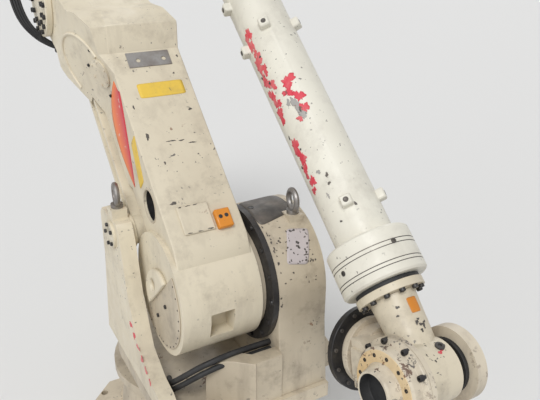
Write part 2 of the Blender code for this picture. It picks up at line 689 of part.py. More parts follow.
def build_lower_arm(arm):
    along = Vector((0, math.sin(ARM_LEAN), math.cos(ARM_LEAN)))
    forward = Vector((0, -math.cos(ARM_LEAN), math.sin(ARM_LEAN)))

    def at(x, fore, rise):
        return SHOULDER + Vector((x, 0, 0)) + forward * fore + along * rise

    front, rear, top = ARM_FRONT, ARM_REAR, ARM_LENGTH
    crown = arc((0, top), HEAD_RADIUS, 0, 180, 14)
    outline = [(HUB_RADIUS * 0.12, 0), (HUB_RADIUS, 0), (front, 0.055),
               (front, 0.69), (front * 1.29, 0.745),
               (front * 1.2, 0.813), (front * 0.98, 0.87), (front * 0.74, 0.97)]
    outline += crown
    outline += [(-0.105, 1.04), (-0.05, 0.90), (-0.065, 0.80), (-0.045, 0.70),
                (-rear, 0.60), (-rear, 0.36), (0.02, 0.33)]
    width = ARM_LEFT - ARM_RIGHT
    middle = -(ARM_LEFT + ARM_RIGHT) / 2
    body = plate("lower_arm", outline, width, side_place(at(middle, 0, 0), forward, along))
    bevel(body, ARM_EDGE, 1, 50)
    flare_outline = [(front, 0.60), (front, 0.69), (front * 1.29, 0.745),
                     (front * 1.2, 0.813), (front * 0.98, 0.87), (front * 0.74, 0.97)]
    flare_outline += crown
    flare_outline += [(-0.105, 1.04), (-0.05, 0.90), (-0.065, 0.80), (-0.045, 0.70),
                      (-rear, 0.60)]
    inset = 1 - MERGE * 40
    flare_outline = [(x * inset, 0.9 + (y - 0.9) * inset) for x, y in flare_outline]
    flare_width = HEAD_LEFT - ARM_LEFT + ARM_EDGE * 2
    flare_middle = -HEAD_LEFT + flare_width / 2
    flare = plate("arm_flare", flare_outline, flare_width,
                  side_place(at(flare_middle, 0, 0), forward, along))
    bevel(flare, ARM_EDGE * 0.7, 1, 50)
    wedge_place = side_place(at(0, 0, 0), (-1, 0, 0), along)
    edge = HEAD_LEFT + OVERRUN
    wedge = plate("flare_wedge", [
        (ARM_LEFT - PIVOT_CAP_THICK, FLARE_START - OVERRUN * 4),
        (ARM_LEFT - PIVOT_CAP_THICK, FLARE_START - PIVOT_CAP_THICK / FLARE_SLOPE),
        (edge, FLARE_START + (edge - ARM_LEFT) / FLARE_SLOPE),
        (edge, FLARE_START - OVERRUN * 4)], FOOT_WIDTH * 2, wedge_place)
    cut(flare, [wedge])
    barrel = rod("arm_hub", HUB_RADIUS, at(-HUB_LEFT, 0, 0), at(-HUB_FLANGE_THICK / 2, 0, 0),
                 48)
    join(body, [flare, barrel])
    slim = plate("right_relief", [(0, 0.74), (ARM_RIGHT, 0.74), (HEAD_RIGHT, 0.86),
                                  (HEAD_RIGHT, top + HEAD_RADIUS * 2),
                                  (0, top + HEAD_RADIUS * 2)], FOOT_WIDTH * 2, wedge_place)
    slot_left = LINK_SIDE + RUN_GAP
    slot_right = LINK_SIDE - LINK_THICK - RUN_GAP
    slot = plate("link_slot", [(-rear - 0.001, 0.45), (-rear - 0.001, top * 1.4),
                               (-0.4, top * 1.4), (-0.4, 0.45)], slot_left - slot_right,
                 side_place(at(-(slot_left + slot_right) / 2, 0, 0), forward, along))
    hole = rod("side_hole", SIDE_HOLE_RADIUS,
               at(-ARM_LEFT - OVERRUN, SIDE_HOLE_FORWARD, SIDE_HOLE_ALONG),
               at(-ARM_LEFT + SIDE_HOLE_DEPTH, SIDE_HOLE_FORWARD, SIDE_HOLE_ALONG), 32)
    notch = block("hub_notch", NOTCH_LOW, NOTCH_HIGH, Matrix.Translation(SHOULDER))
    cut(body, [slim, slot, hole, notch])
    add(body, PAINTED, arm)

    flange = turned("hub_flange", [
        (0, -SEAT_GAP), (HUB_FLANGE_RADIUS, -SEAT_GAP),
        (HUB_FLANGE_RADIUS, -HUB_FLANGE_THICK / 2 + SEAT_GAP),
        (0, -HUB_FLANGE_THICK / 2 + SEAT_GAP)], side_place(SHOULDER, (0, 1, 0), (0, 0, 1)),
        56)
    add(flange, PAINTED, arm)

    wide = COVER_RADIUS * 2
    chord = plate("cover_chord", [(-wide, 0), (wide, 0), (wide, wide), (-wide, wide)],
                  0.1, side_place(at(-HUB_LEFT, 0, 0), (0, -0.7175, 0.6966),
                                  (0, 0.6966, 0.7175)))
    cover = rod("hub_cover", COVER_RADIUS, at(-HUB_LEFT - SEAT_GAP, 0, 0),
                at(-HUB_LEFT - SEAT_GAP - COVER_THICK, 0, 0), 48)
    add(cut(cover, [chord]), PAINTED, arm)

    centre = at(-HEAD_LEFT - SEAT_GAP, 0, ELBOW_FLANGE_ALONG)
    out = Vector((-1, 0, 0))
    elbow = rod("elbow_flange", ELBOW_FLANGE_RADIUS, centre,
                centre + out * ELBOW_FLANGE_THICK)
    face = axes((0, 1, 0), out, centre + out * ELBOW_FLANGE_THICK)
    heads = []
    for share, count in ((0.88, ELBOW_FLANGE_BOLTS), (0.62, ELBOW_FLANGE_BOLTS - 4)):
        for spot in ring_of(face, ELBOW_FLANGE_RADIUS * share, count):
            heads.append(rod("flange_bolt", ELBOW_FLANGE_RADIUS * 0.06,
                             spot - out * 0.002, spot + out * 0.006, BOLT_STEPS))
    add(join(bevel(elbow, 0.003, 1), heads), PAINTED, arm)

    pad = block("arm_pad", (PAD_SIDES[0], -front - PAD_THICK, PAD_RISES[0]),
                (PAD_SIDES[1], -front - SEAT_GAP, PAD_RISES[1]))
    pad.data.transform(arm.matrix_world)
    add(bevel(pad, 0.0025, 1), PAINTED, arm)
    stop = block("orange_stop", (STOP_SIDES[0], -front - STOP_THICK, STOP_RISES[0]),
                 (STOP_SIDES[1], -front - SEAT_GAP, STOP_RISES[1]))
    stop.data.transform(arm.matrix_world)
    add(bevel(stop, 0.003, 1), ORANGED, arm)
    grey = block("grey_plate", (PLATE_SIDES[0], -front - PLATE_THICK, PLATE_RISES[0]),
                 (PLATE_SIDES[1], -front - SEAT_GAP, PLATE_RISES[1]))
    grey.data.transform(arm.matrix_world)
    drills = [rod("plate_hole", PLATE_HOLE_RADIUS, at(x, front - OVERRUN, PLATE_HOLE_RISE),
                  at(x, front + OVERRUN, PLATE_HOLE_RISE), BOLT_STEPS)
              for x in PLATE_HOLE_SIDES]
    add(cut(grey, drills), STEELY, arm)

    slant = math.atan(FLARE_SLOPE)
    outward = Vector((-math.cos(slant), 0, 0)) - along * math.sin(slant)
    seat = at(-ARM_LEFT - (ACCESS_ALONG - FLARE_START) * FLARE_SLOPE, ACCESS_FORWARD,
              ACCESS_ALONG)
    disc = rod("access_cover", ACCESS_RADIUS, seat + outward * SEAT_GAP,
               seat + outward * ACCESS_THICK)
    spin = axes((0, 1, 0), outward, seat + outward * ACCESS_THICK)
    screws = [rod("access_screw", ACCESS_THICK * 0.8, spot - outward * ACCESS_THICK / 2,
                  spot + outward * ACCESS_THICK / 2, BOLT_STEPS)
              for spot in ring_of(spin, ACCESS_RADIUS * 0.82, 6, 20)]
    add(join(disc, screws), PAINTED, arm)


def smooth_route(points, steps):
    """Points of a smooth curve through the route's own points."""
    route = []
    for i in range(len(points) - 1):
        before = points[max(i - 1, 0)]
        start, end = points[i], points[i + 1]
        after = points[min(i + 2, len(points) - 1)]
        for j in range(steps):
            t = j / steps
            route.append(0.5 * (2 * start + (end - before) * t
                                + (2 * before - 5 * start + 4 * end - after) * t ** 2
                                + (3 * start - before - 3 * end + after) * t ** 3))
    return route + [points[-1]]


def tube(name, points, radius):
    """A closed mesh tube along a route."""
    curve = bpy.data.curves.new(name, "CURVE")
    curve.dimensions = "3D"
    curve.bevel_depth = radius
    curve.bevel_resolution = 1
    curve.use_fill_caps = True
    line = curve.splines.new("POLY")
    line.points.add(len(points) - 1)
    for point, place in zip(line.points, points):
        point.co = (place.x, place.y, place.z, 1.0)
    guide = bpy.data.objects.new(name + "_curve", curve)
    bpy.context.scene.collection.objects.link(guide)
    return solid_from(guide, name)


def build_hoses(arm):
    """Hoses that loop out to the left of the elbow, clipped at both ends."""
    head = SHOULDER.x - HEAD_LEFT
    near = ELBOW + Vector((head - ELBOW.x, 0, 0))
    offsets = ((-0.006, 0.041, 0.066), (-0.048, 0.031, 0.062), (-0.084, 0.016, 0.028),
               (-0.098, -0.009, -0.034), (-0.094, -0.034, -0.104),
               (-0.076, -0.049, -0.159), (-0.041, -0.064, -0.204),
               (-0.006, -0.079, -0.229), (0.024, -0.092, -0.243))
    outer = [near + Vector(step) for step in offsets]
    across = Vector((0.872, -0.489, 0.0)) * HOSE_PITCH
    hoses = []
    for i in range(HOSE_COUNT):
        share = [min(1.0, 4 * j / (len(outer) - 1)) for j in range(len(outer))]
        path = [point + across * i * part + Vector((0, 0, HOSE_PITCH * i)) * (1 - part)
                for point, part in zip(outer, share)]
        hoses.append(tube("hose_%d" % i, smooth_route(path, 3), HOSE_RADIUS))
    low = near + Vector(offsets[0]) + Vector((0.006 - SEAT_GAP, 0, 0))
    first = block("hose_bundle", low - Vector((HOSE_CLAMP, HOSE_CLAMP, HOSE_CLAMP)),
                  low + Vector((0, HOSE_CLAMP, HOSE_CLAMP + HOSE_PITCH * 3)))
    last = outer[-1] + across * 1.5
    forward = Vector((0, -math.cos(ARM_LEAN), math.sin(ARM_LEAN)))
    along = Vector((0, math.sin(ARM_LEAN), math.cos(ARM_LEAN)))
    second = block("hose_clamp", (-HOSE_PITCH * 3, -HOSE_CLAMP, -HOSE_CLAMP),
                   (HOSE_PITCH * 2, HOSE_CLAMP * 2.82, HOSE_CLAMP),
                   side_place(last, (1, 0, 0), forward))
    add(join(first, hoses + [second]), RUBBERY, arm)
    return along


def build_bracket(bracket):
    """The lever on the elbow axis that the link keeps level."""
    face = -HEAD_RIGHT + SEAT_GAP
    end = ELBOW + Vector((face + BRACKET_HUB_THICK, 0, 0))
    hub = rod("elbow_bracket", BRACKET_HUB_RADIUS, ELBOW + Vector((face, 0, 0)), end)
    middle = face + RUN_GAP + BRACKET_PLATE_THICK / 2
    reach = LINK_OFFSET.length
    ahead = LINK_OFFSET.normalized()
    side = ahead.cross(Vector((1, 0, 0)))
    wide, slim = BRACKET_HUB_RADIUS * 0.8, LINK_EYE_RADIUS * 0.8
    lever = plate("lever", [(wide, 0), (slim, reach)]
                  + arc((0, reach), slim, 0, 180, 10)[1:-1]
                  + [(-slim, reach), (-wide, 0)], BRACKET_PLATE_THICK,
                  side_place(ELBOW + Vector((middle, 0, 0)), side, ahead))
    pin = rod("lever_pin", PIN_RADIUS, LINK_HEAD + Vector((-LINK_SIDE - RUN_GAP, 0, 0)),
              LINK_HEAD + Vector((middle, 0, 0)))
    collar = rod("pin_collar", PIN_RADIUS * 1.9,
                 LINK_HEAD + Vector((-LINK_SIDE + LINK_THICK + SEAT_GAP, 0, 0)),
                 LINK_HEAD + Vector((middle, 0, 0)))
    add(join(hub, [lever, pin, collar]), PAINTED, bracket)


def build_forearm(forearm):
    place = axes((1, 0, 0), FOREARM_AHEAD, FOREARM_AXIS)
    rise = -FOREARM_RISE
    left_face = -HEAD_RIGHT + 2 * SEAT_GAP + BRACKET_HUB_THICK - FOREARM_SIDE
    half = HOUSING_HALF
    lobe = BRACKET_HUB_RADIUS * 1.1
    outline = [(HOUSING_FRONT, half), (-HOUSING_REAR, half), (-HOUSING_REAR, -half)]
    outline += arc((0, rise), lobe, 180, 360, 12) + [(HOUSING_FRONT, -half)]
    housing = plate("elbow_housing", outline, half * 2,
                    side_place(FOREARM_AXIS, FOREARM_AHEAD, FOREARM_UP))
    bevel(housing, half * 0.2, 2, 50)
    hub = rod("elbow_hub", BRACKET_HUB_RADIUS, (left_face, rise, 0), (0, rise, 0))
    hub.data.transform(place)
    join(housing, [hub])
    add(housing, PAINTED, forearm)

    start = HOUSING_FRONT + SEAT_GAP
    tube = turned("forearm_tube", [
        (0, COLLAR_START - SEAT_GAP), (TUBE_RADIUS, COLLAR_START - SEAT_GAP),
        (TUBE_RADIUS, start + 0.03), (TUBE_RADIUS * 1.14, start + 0.014),
        (TUBE_RADIUS * 1.14, start), (0, start)], place, 48)
    add(tube, PAINTED, forearm)

    rows = TUBE_BOSSES
    bosses = []
    for reach, turns in rows:
        for degrees in turns:
            turn = math.radians(degrees)
            out = Vector((math.cos(turn), math.sin(turn), 0))
            side = Vector((-math.sin(turn), math.cos(turn), 0))
            name = "tube_boss_%d" % (len(bosses) + 1)
            low, high = TUBE_RADIUS - 0.006, TUBE_RADIUS + 0.022
            shape = bevel(block(name, (-0.017, low, -0.016), (0.017, high, 0.016)),
                          0.004, 1)
            shape.data.transform(Matrix.Translation((0, 0, reach))
                                 @ Matrix((side, out, (0, 0, -1))).transposed().to_4x4())
            shape.data.transform(place)
            bosses.append(shape)
    join(tube, bosses)

    grooves = []
    for share in COLLAR_GROOVE_SHARES:
        z = COLLAR_START + COLLAR_LENGTH * share
        grooves.append((COLLAR_RADIUS, z + COLLAR_GROOVE))
        grooves.append((COLLAR_RADIUS - COLLAR_GROOVE, z))
        grooves.append((COLLAR_RADIUS, z - COLLAR_GROOVE))
    end = COLLAR_START + COLLAR_LENGTH
    profile = [(0, end), (COLLAR_RADIUS - COLLAR_EDGE, end), (COLLAR_RADIUS, end - COLLAR_EDGE)]
    profile += sorted(grooves, key=lambda point: -point[1])
    profile += [(COLLAR_RADIUS, COLLAR_START + COLLAR_EDGE),
                (COLLAR_RADIUS - COLLAR_EDGE, COLLAR_START), (0, COLLAR_START)]
    add(turned("forearm_collar", profile, place, 56), PAINTED, forearm)

    for i, (sx, sy) in enumerate(((-1, 0.6), (1, 0.6), (0, -0.75))):
        x, y = sx * MOTOR_SPREAD, sy * MOTOR_SPREAD
        base = -HOUSING_REAR - SEAT_GAP
        motor = rod("wrist_motor_%d" % (i + 1), MOTOR_RADIUS, (x, y, base),
                    (x, y, base - MOTOR_LENGTH), SMALL_STEPS)
        motor.data.transform(place)
        add(bevel(motor, 0.004, 1), BLACKENED, forearm)


def build_wrist(rotor, yoke, tool):
    along = axes((1, 0, 0), FOREARM_AHEAD, FOREARM_AXIS)
    seat = COLLAR_START + COLLAR_LENGTH + SEAT_GAP
    ring = turned("neck_flange", [
        (0, seat + NECK_SEAT_THICK + NECK_FLANGE_THICK),
        (NECK_FLANGE_RADIUS, seat + NECK_SEAT_THICK + NECK_FLANGE_THICK),
        (NECK_FLANGE_RADIUS, seat + NECK_SEAT_THICK),
        (NECK_FLANGE_RADIUS * 0.9, seat + NECK_SEAT_THICK),
        (NECK_FLANGE_RADIUS * 0.9, seat), (0, seat)], along, 48)
    add(ring, PAINTED, rotor)
    low = seat + NECK_SEAT_THICK + NECK_FLANGE_THICK + SEAT_GAP
    reach = COLLAR_START + WRIST_REACH
    neck = rod("wrist_neck", NECK_RADIUS * 1.12, (0, 0, low), (0, 0, reach), ROUND_STEPS,
               NECK_RADIUS * 0.9)
    neck.data.transform(along)
    cross = axes(FOREARM_AHEAD, BEND_AXIS, WRIST)
    body = turned("cross_housing", [
        (0, CROSS_RIGHT), (CROSS_END_RADIUS, CROSS_RIGHT),
        (CROSS_END_RADIUS, CROSS_SHOULDER + OVERRUN / 2), (CROSS_RADIUS, CROSS_SHOULDER),
        (CROSS_RADIUS, -CROSS_LEFT), (0, -CROSS_LEFT)], cross, 48)
    join(neck, [body])
    deep = BEND_SHAFT_LENGTH
    cut(neck, [rod("shaft_bore", BEND_SHAFT_RADIUS + PIN_CLEARANCE,
                   cross @ Vector((0, 0, start)), cross @ Vector((0, 0, end)), 32)
               for start, end in ((-CROSS_LEFT - OVERRUN, -CROSS_LEFT + deep),
                                  (CROSS_RIGHT + OVERRUN, CROSS_RIGHT - deep))])
    add(neck, PAINTED, rotor)

    cheek_in = CROSS_LEFT + RUN_GAP
    cheek_out = cheek_in + YOKE_CHEEK_THICK
    left = -cheek_out - SEAT_GAP
    face = turned("bend_cover", [
        (0, left), (FACE_RADIUS, left), (FACE_RADIUS, -FACE_OUT),
        (CAP_RADIUS, -FACE_OUT - BORE_WALL), (CAP_RADIUS, -CAP_OUT + BORE_WALL),
        (CAP_RADIUS - BORE_WALL, -CAP_OUT), (BORE_RADIUS + 3 * BORE_WALL, -CAP_OUT),
        (BORE_RADIUS + BORE_WALL, -BORE_OUT), (BORE_RADIUS, -BORE_OUT),
        (BORE_RADIUS, -BORE_OUT + BORE_DEPTH), (0, -BORE_OUT + BORE_DEPTH)], cross, 48)
    add(face, WORN, yoke)

    bore = CROSS_END_RADIUS + RUN_GAP
    seal_far = SEAL_NEAR + SEAL_THICK
    seal = turned("bend_seal", [
        (bore, seal_far), (SEAL_RADIUS, seal_far), (SEAL_RADIUS, SEAL_NEAR),
        (bore, SEAL_NEAR), (bore, seal_far)], cross, 48)
    add(seal, BLACKENED, yoke)

    guard_near = seal_far + SEAT_GAP
    roll = axes(BEND_AXIS, TOOL_AXIS, WRIST)
    seat_out = TOOL_OUT - TOOL_THICK - SEAT_GAP
    ring_in = ROLL_HOUSE_OUT - OVERRUN
    house = turned("roll_housing", [
        (0, ring_in), (ROLL_HOUSE_RADIUS * 0.86, ring_in),
        (ROLL_HOUSE_RADIUS * 0.86, YOKE_WEB_WIDE_AT + OVERRUN / 2),
        (0, YOKE_WEB_WIDE_AT + OVERRUN / 2)], roll, 48)
    web = plate("yoke_web", [
        (YOKE_WEB_HALF, YOKE_WEB_NEAR), (YOKE_WEB_WIDE_HALF, YOKE_WEB_WIDE_AT),
        (YOKE_WEB_WIDE_HALF, YOKE_WEB_FAR), (-YOKE_WEB_WIDE_HALF, YOKE_WEB_FAR),
        (-YOKE_WEB_WIDE_HALF, YOKE_WEB_WIDE_AT), (-YOKE_WEB_HALF, YOKE_WEB_NEAR)],
        cheek_in + guard_near + 2 * OVERRUN / 4,
        roll @ side_place(((guard_near - cheek_in) / 2, 0, 0), (0, 1, 0), (0, 0, 1)))
    arms = []
    for name, radius, near, far in (("left_arm", FACE_RADIUS, -cheek_in, -cheek_out),
                                    ("right_arm", GUARD_RADIUS, guard_near, GUARD_OUT)):
        arms.append(turned(name, [(0, max(near, far)), (radius, max(near, far)),
                                  (radius, min(near, far)), (0, min(near, far))],
                           cross, 48))
        arms.append(plate(name + "_root", [
            (-YOKE_WEB_HALF, 0), (YOKE_WEB_HALF, 0),
            (YOKE_WEB_HALF * 1.3, YOKE_WEB_FAR - RUN_GAP),
            (-YOKE_WEB_HALF * 1.3, YOKE_WEB_FAR - RUN_GAP)],
            abs(far - near) - RUN_GAP / 3, roll @ side_place(((near + far) / 2, 0, 0), (0, 1, 0),
                                               (0, 0, 1))))
    for near, sign in ((-cheek_in, 1), (guard_near, -1)):
        reach = BEND_SHAFT_LENGTH * sign
        arms.append(rod("bend_shaft", BEND_SHAFT_RADIUS, cross @ Vector((0, 0, near - reach / 6)),
                        cross @ Vector((0, 0, near + reach)), 32))
    join(house, [web] + arms)
    add(house, PAINTED, yoke)
    ring = turned("roll_ring", [
        (0, seat_out), (ROLL_HOUSE_RADIUS * 0.9, seat_out),
        (ROLL_HOUSE_RADIUS * 0.9, ROLL_HOUSE_OUT), (ROLL_HOUSE_RADIUS, ROLL_HOUSE_OUT),
        (ROLL_HOUSE_RADIUS, ring_in + SEAT_GAP), (0, ring_in + SEAT_GAP)], roll, 48)
    add(ring, PAINTED, yoke)

    disc = turned("tool_flange", [
        (0, TOOL_OUT), (TOOL_RADIUS, TOOL_OUT), (TOOL_RADIUS, TOOL_OUT - TOOL_THICK),
        (0, TOOL_OUT - TOOL_THICK)], roll, 48)
    add(disc, STEELY, tool)


clear_scene()
PARTS = collection("robot_arm")
CUTTERS = collection("cutters")
PAINTED = material("cream paint", PAINT, 0.42)
WORN = material("worn ochre paint", WORN_PAINT, 0.5)
BLACKENED = material("blackened steel", BLACK, 0.45, 0.3)
STEELY = material("bare steel", STEEL, 0.38, 0.9)
ORANGED = material("orange paint", ORANGE, 0.45)
RUBBERY = material("black rubber", RUBBER, 0.6)

ROOT = pivot("base_frame", Matrix.Identity(4))
TURNING = pivot("turning_frame", Matrix.Identity(4))
ARM = pivot("arm_frame", Matrix.Translation(SHOULDER) @ Matrix.Rotation(-ARM_LEAN, 4, "X"))
LINK = pivot("link_frame", Matrix.Translation(LINK_FOOT))
BRACKET = pivot("bracket_frame", Matrix.Translation(ELBOW))
FOREARM = pivot("forearm_frame", Matrix.Translation(ELBOW))
ROTOR = pivot("rotor_frame", Matrix.Translation(WRIST))
YOKE = pivot("yoke_frame", Matrix.Translation(WRIST))
TOOL = pivot("tool_frame", Matrix.Translation(WRIST))
build_base(ROOT)
build_table(TURNING)
build_column(TURNING)
build_cheek(TURNING)
build_link(LINK)
build_lower_arm(ARM)
build_hoses(ARM)
build_bracket(BRACKET)
build_forearm(FOREARM)
build_wrist(ROTOR, YOKE, TOOL)
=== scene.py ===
"""Dress of the industrial robot arm: worn cream castings, bare steel and black rings.

Lengths are in metres in the part's own frame: +Z up along the turning axis, the arm
faces -Y. Pieces that follow a body keep to four local frames: the lower arm (side,
forward, along), the forearm tube (reach, angle), the wrist's bend axis and its tool axis.
"""
import json
import math

import bmesh
import bpy
import numpy as np
from mathutils import Matrix, Vector


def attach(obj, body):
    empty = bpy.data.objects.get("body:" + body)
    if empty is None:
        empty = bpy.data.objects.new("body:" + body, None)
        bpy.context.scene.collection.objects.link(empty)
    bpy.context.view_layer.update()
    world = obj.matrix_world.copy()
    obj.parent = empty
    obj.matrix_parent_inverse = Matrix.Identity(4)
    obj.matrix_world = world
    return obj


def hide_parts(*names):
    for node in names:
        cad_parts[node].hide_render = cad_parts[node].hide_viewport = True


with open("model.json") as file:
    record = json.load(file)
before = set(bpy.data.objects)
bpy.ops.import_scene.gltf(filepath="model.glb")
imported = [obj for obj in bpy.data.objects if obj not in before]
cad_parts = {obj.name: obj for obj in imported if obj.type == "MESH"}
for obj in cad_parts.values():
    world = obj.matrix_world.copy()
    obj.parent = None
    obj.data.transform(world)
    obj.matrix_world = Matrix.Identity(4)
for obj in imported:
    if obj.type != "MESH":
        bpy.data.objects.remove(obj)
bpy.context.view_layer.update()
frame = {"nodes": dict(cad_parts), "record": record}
NODES = frame["nodes"]

# Angles of the parked pose: the lower arm leans back, the tube drops to the front,
# the wrist is rolled and bent.
LEAN, DROP = math.radians(46.7), math.radians(40.0)
ROLL, BEND = math.radians(5.2), math.radians(122.8)
SIDE = np.array((1.0, 0.0, 0.0))
REAR = np.array((0.0, 1.0, 0.0))
RISE = np.array((0.0, 0.0, 1.0))

# Lower arm: shoulder axis, arm length, and its front and left faces from that axis.
ARM_LENGTH = 1.187
ARM_FRONT, ARM_LEFT = 0.205, 0.248
SLANT_FROM, SLANT = 0.62, 0.3673  # above this height the left face leans outwards
SHOULDER = np.array((0.080, -0.240, 0.740))
ALONG = np.array((0.0, math.sin(LEAN), math.cos(LEAN)))
FORWARD = np.array((0.0, -math.cos(LEAN), math.sin(LEAN)))
ELBOW = SHOULDER + ARM_LENGTH * ALONG

# Forearm tube: its axis from the elbow, and the wrist's centre along it.
TUBE_ASIDE, TUBE_ABOVE, TUBE_REACH = 0.2465, 0.252, 1.672
AHEAD = np.array((0.0, -math.cos(DROP), -math.sin(DROP)))
UP = np.array((0.0, -math.sin(DROP), math.cos(DROP)))
TUBE = ELBOW + TUBE_ASIDE * SIDE + TUBE_ABOVE * UP
WRIST = TUBE + TUBE_REACH * AHEAD
BEND_AXIS = SIDE * math.cos(ROLL) - UP * math.sin(ROLL)
BEND_SIDE = np.cross(BEND_AXIS, AHEAD)
TOOL_AXIS = AHEAD * math.cos(BEND) + BEND_SIDE * math.sin(BEND)
TUBE_RADIUS, DRUM_RADIUS = 0.0851, 0.208

# Hub cover: its outer face's centre, and the straight edge's run and outward normal.
COVER = SHOULDER - SIDE * 0.2657
EDGE_RUN = np.array((0.0, -0.7175, 0.6966))
EDGE_OUT = np.array((0.0, 0.6966, 0.7175))

SHARP = math.radians(32)  # edges steeper than this stay sharp
FLAKE_WALL, PLATE_WALL = 0.0004, 0.001  # thickness of paint remnants and of plates
EDGE_BREAK = 0.0015  # width of the bevel on the castings' sharp edges


# ---------------------------------------------------------------- finishes
class Finish:
    """A node material built step by step around one Principled shader."""

    def __init__(self, name, rough=0.45, metal=0.0):
        self.made = bpy.data.materials.new(name)
        self.made.use_nodes = True
        self.tree = self.made.node_tree
        self.shader = self.tree.nodes["Principled BSDF"]
        self.shader.inputs["Roughness"].default_value = rough
        self.shader.inputs["Metallic"].default_value = metal
        self.place = self.tree.nodes.new("ShaderNodeTexCoord").outputs["Object"]

    def link(self, source, socket):
        if hasattr(source, "is_linked"):
            self.tree.links.new(source, socket)
        else:
            socket.default_value = source

    def stretched(self, x, y, z):
        node = self.tree.nodes.new("ShaderNodeMapping")
        node.inputs["Scale"].default_value = (x, y, z)
        self.link(self.place, node.inputs["Vector"])
        return node.outputs["Vector"]

    def noise(self, scale, detail, rough=0.55, vector=None):
        node = self.tree.nodes.new("ShaderNodeTexNoise")
        node.inputs["Scale"].default_value = scale
        node.inputs["Detail"].default_value = detail
        node.inputs["Roughness"].default_value = rough
        self.link(vector or self.place, node.inputs["Vector"])
        return node.outputs["Fac"]

    def step(self, source, low, high, bottom=0.0, top=1.0):
        node = self.tree.nodes.new("ShaderNodeMapRange")
        for socket, value in zip(("From Min", "From Max", "To Min", "To Max"),
                                 (low, high, bottom, top)):
            node.inputs[socket].default_value = value
        self.link(source, node.inputs["Value"])
        return node.outputs["Result"]

    def times(self, first, second):
        node = self.tree.nodes.new("ShaderNodeMath")
        node.operation = "MULTIPLY"
        self.link(first, node.inputs[0])
        self.link(second, node.inputs[1])
        return node.outputs[0]

    def blend(self, share, first, second):
        node = self.tree.nodes.new("ShaderNodeMix")
        node.data_type = "RGBA"
        self.link(share, node.inputs[0])
        self.link(first, node.inputs[6])
        self.link(second, node.inputs[7])
        return node.outputs[2]

    def bump(self, height, strength, distance):
        node = self.tree.nodes.new("ShaderNodeBump")
        node.inputs["Strength"].default_value = strength
        node.inputs["Distance"].default_value = distance
        self.link(height, node.inputs["Height"])
        self.link(node.outputs["Normal"], self.shader.inputs["Normal"])

    def set(self, socket, source):
        self.link(source, self.shader.inputs[socket])
        return self


def rgb(red, green, blue):
    return (red, green, blue, 1.0)


def worn_paint(name, colour, shade, dirt=rgb(0.20, 0.16, 0.12), grime=0.5, chips=0.66,
               rust=rgb(0.20, 0.085, 0.035), rough=0.4):
    """Old gloss paint: cloudy tone, runs of dirt, fine specks, chips down to metal."""
    made, bare = Finish(name, rough), rgb(0.10, 0.095, 0.09)
    tone = made.blend(made.step(made.noise(2.4, 5), 0.35, 0.68), shade, colour)
    runs = made.step(made.noise(3.0, 6, 0.65, made.stretched(5.0, 5.0, 0.9)), 0.50, 0.78)
    tone = made.blend(made.times(runs, grime * 0.55), tone, dirt)
    haze = made.step(made.noise(11.0, 7, 0.68), 0.52, 0.80)
    tone = made.blend(made.times(haze, grime), tone, dirt)
    patchy = made.step(made.noise(4.3, 3), 0.42, 0.62)
    specks = made.times(made.step(made.noise(75.0, 2, 0.5), 0.685, 0.705), patchy)
    tone = made.blend(made.times(specks, 0.9), tone, bare)
    lost = made.times(made.step(made.noise(30.0, 8, 0.72), chips, chips + 0.012), patchy)
    metal = made.blend(made.step(made.noise(19.0, 3), 0.45, 0.6), bare, rust)
    made.set("Base Color", made.blend(lost, tone, metal))
    made.set("Roughness", made.step(made.noise(24.0, 4), 0.3, 0.75, rough - 0.08,
                                    rough + 0.22))
    made.bump(made.step(lost, 0.0, 1.0, 1.0, 0.0), 0.35, 0.0006)
    return made.made


def cast_metal(name, colour, stain, rough=0.45, metal=0.85, grain=90.0):
    """Handled metal: a cloudy stain over the base colour and a fine tooled grain."""
    made = Finish(name, rough, metal)
    cloud = made.step(made.noise(14.0, 6, 0.65), 0.38, 0.70)
    made.set("Base Color", made.blend(cloud, colour, stain))
    made.set("Roughness", made.step(made.noise(33.0, 5), 0.3, 0.7, rough - 0.1,
                                    rough + 0.2))
    made.bump(made.noise(grain, 4), 0.18, 0.0004)
    return made.made


CREAM = worn_paint("worn cream paint", rgb(0.74, 0.67, 0.52), rgb(0.62, 0.55, 0.42))
# A darker cream for the base, table, column and hub: its base colour is darker
# throughout, with heavier grime and more chips.
CREAM_DARKER = worn_paint("darker cream paint", rgb(0.62, 0.54, 0.41),
                         rgb(0.42, 0.36, 0.27), grime=0.85, chips=0.62)
CREAM_CLEAN = worn_paint("cream tube paint", rgb(0.80, 0.78, 0.68),
                         rgb(0.70, 0.67, 0.58), grime=0.3, chips=0.69)
CREAM_SCRAPED = worn_paint("scraped cream paint", rgb(0.70, 0.63, 0.50),
                           rgb(0.50, 0.43, 0.33), grime=0.9, chips=0.57,
                           rust=rgb(0.16, 0.10, 0.07))
OCHRE = worn_paint("ochre and cream paint", rgb(0.66, 0.47, 0.24), rgb(0.74, 0.62, 0.42),
                   grime=0.55, chips=0.585)
ORANGE = worn_paint("orange paint", rgb(0.80, 0.30, 0.03), rgb(0.62, 0.22, 0.02),
                    grime=0.35, chips=0.68, rough=0.35)
YELLOW = worn_paint("yellow plate", rgb(0.86, 0.60, 0.08), rgb(0.74, 0.50, 0.07),
                    grime=0.45, chips=0.64, rough=0.5)
RED = worn_paint("crimson remnants", rgb(0.62, 0.02, 0.06), rgb(0.70, 0.09, 0.10),
                 dirt=rgb(0.72, 0.62, 0.56), grime=0.6, chips=0.60, rough=0.45)
PALE = worn_paint("faded patch", rgb(0.56, 0.51, 0.51), rgb(0.48, 0.43, 0.43),
                  dirt=rgb(0.42, 0.40, 0.40), grime=0.75, chips=0.60, rough=0.6)
BARE = cast_metal("bare grey steel", rgb(0.33, 0.32, 0.31), rgb(0.20, 0.17, 0.15))
DARK = cast_metal("dark stained steel", rgb(0.075, 0.07, 0.065), rgb(0.16, 0.14, 0.12),
                  0.5, 0.5)
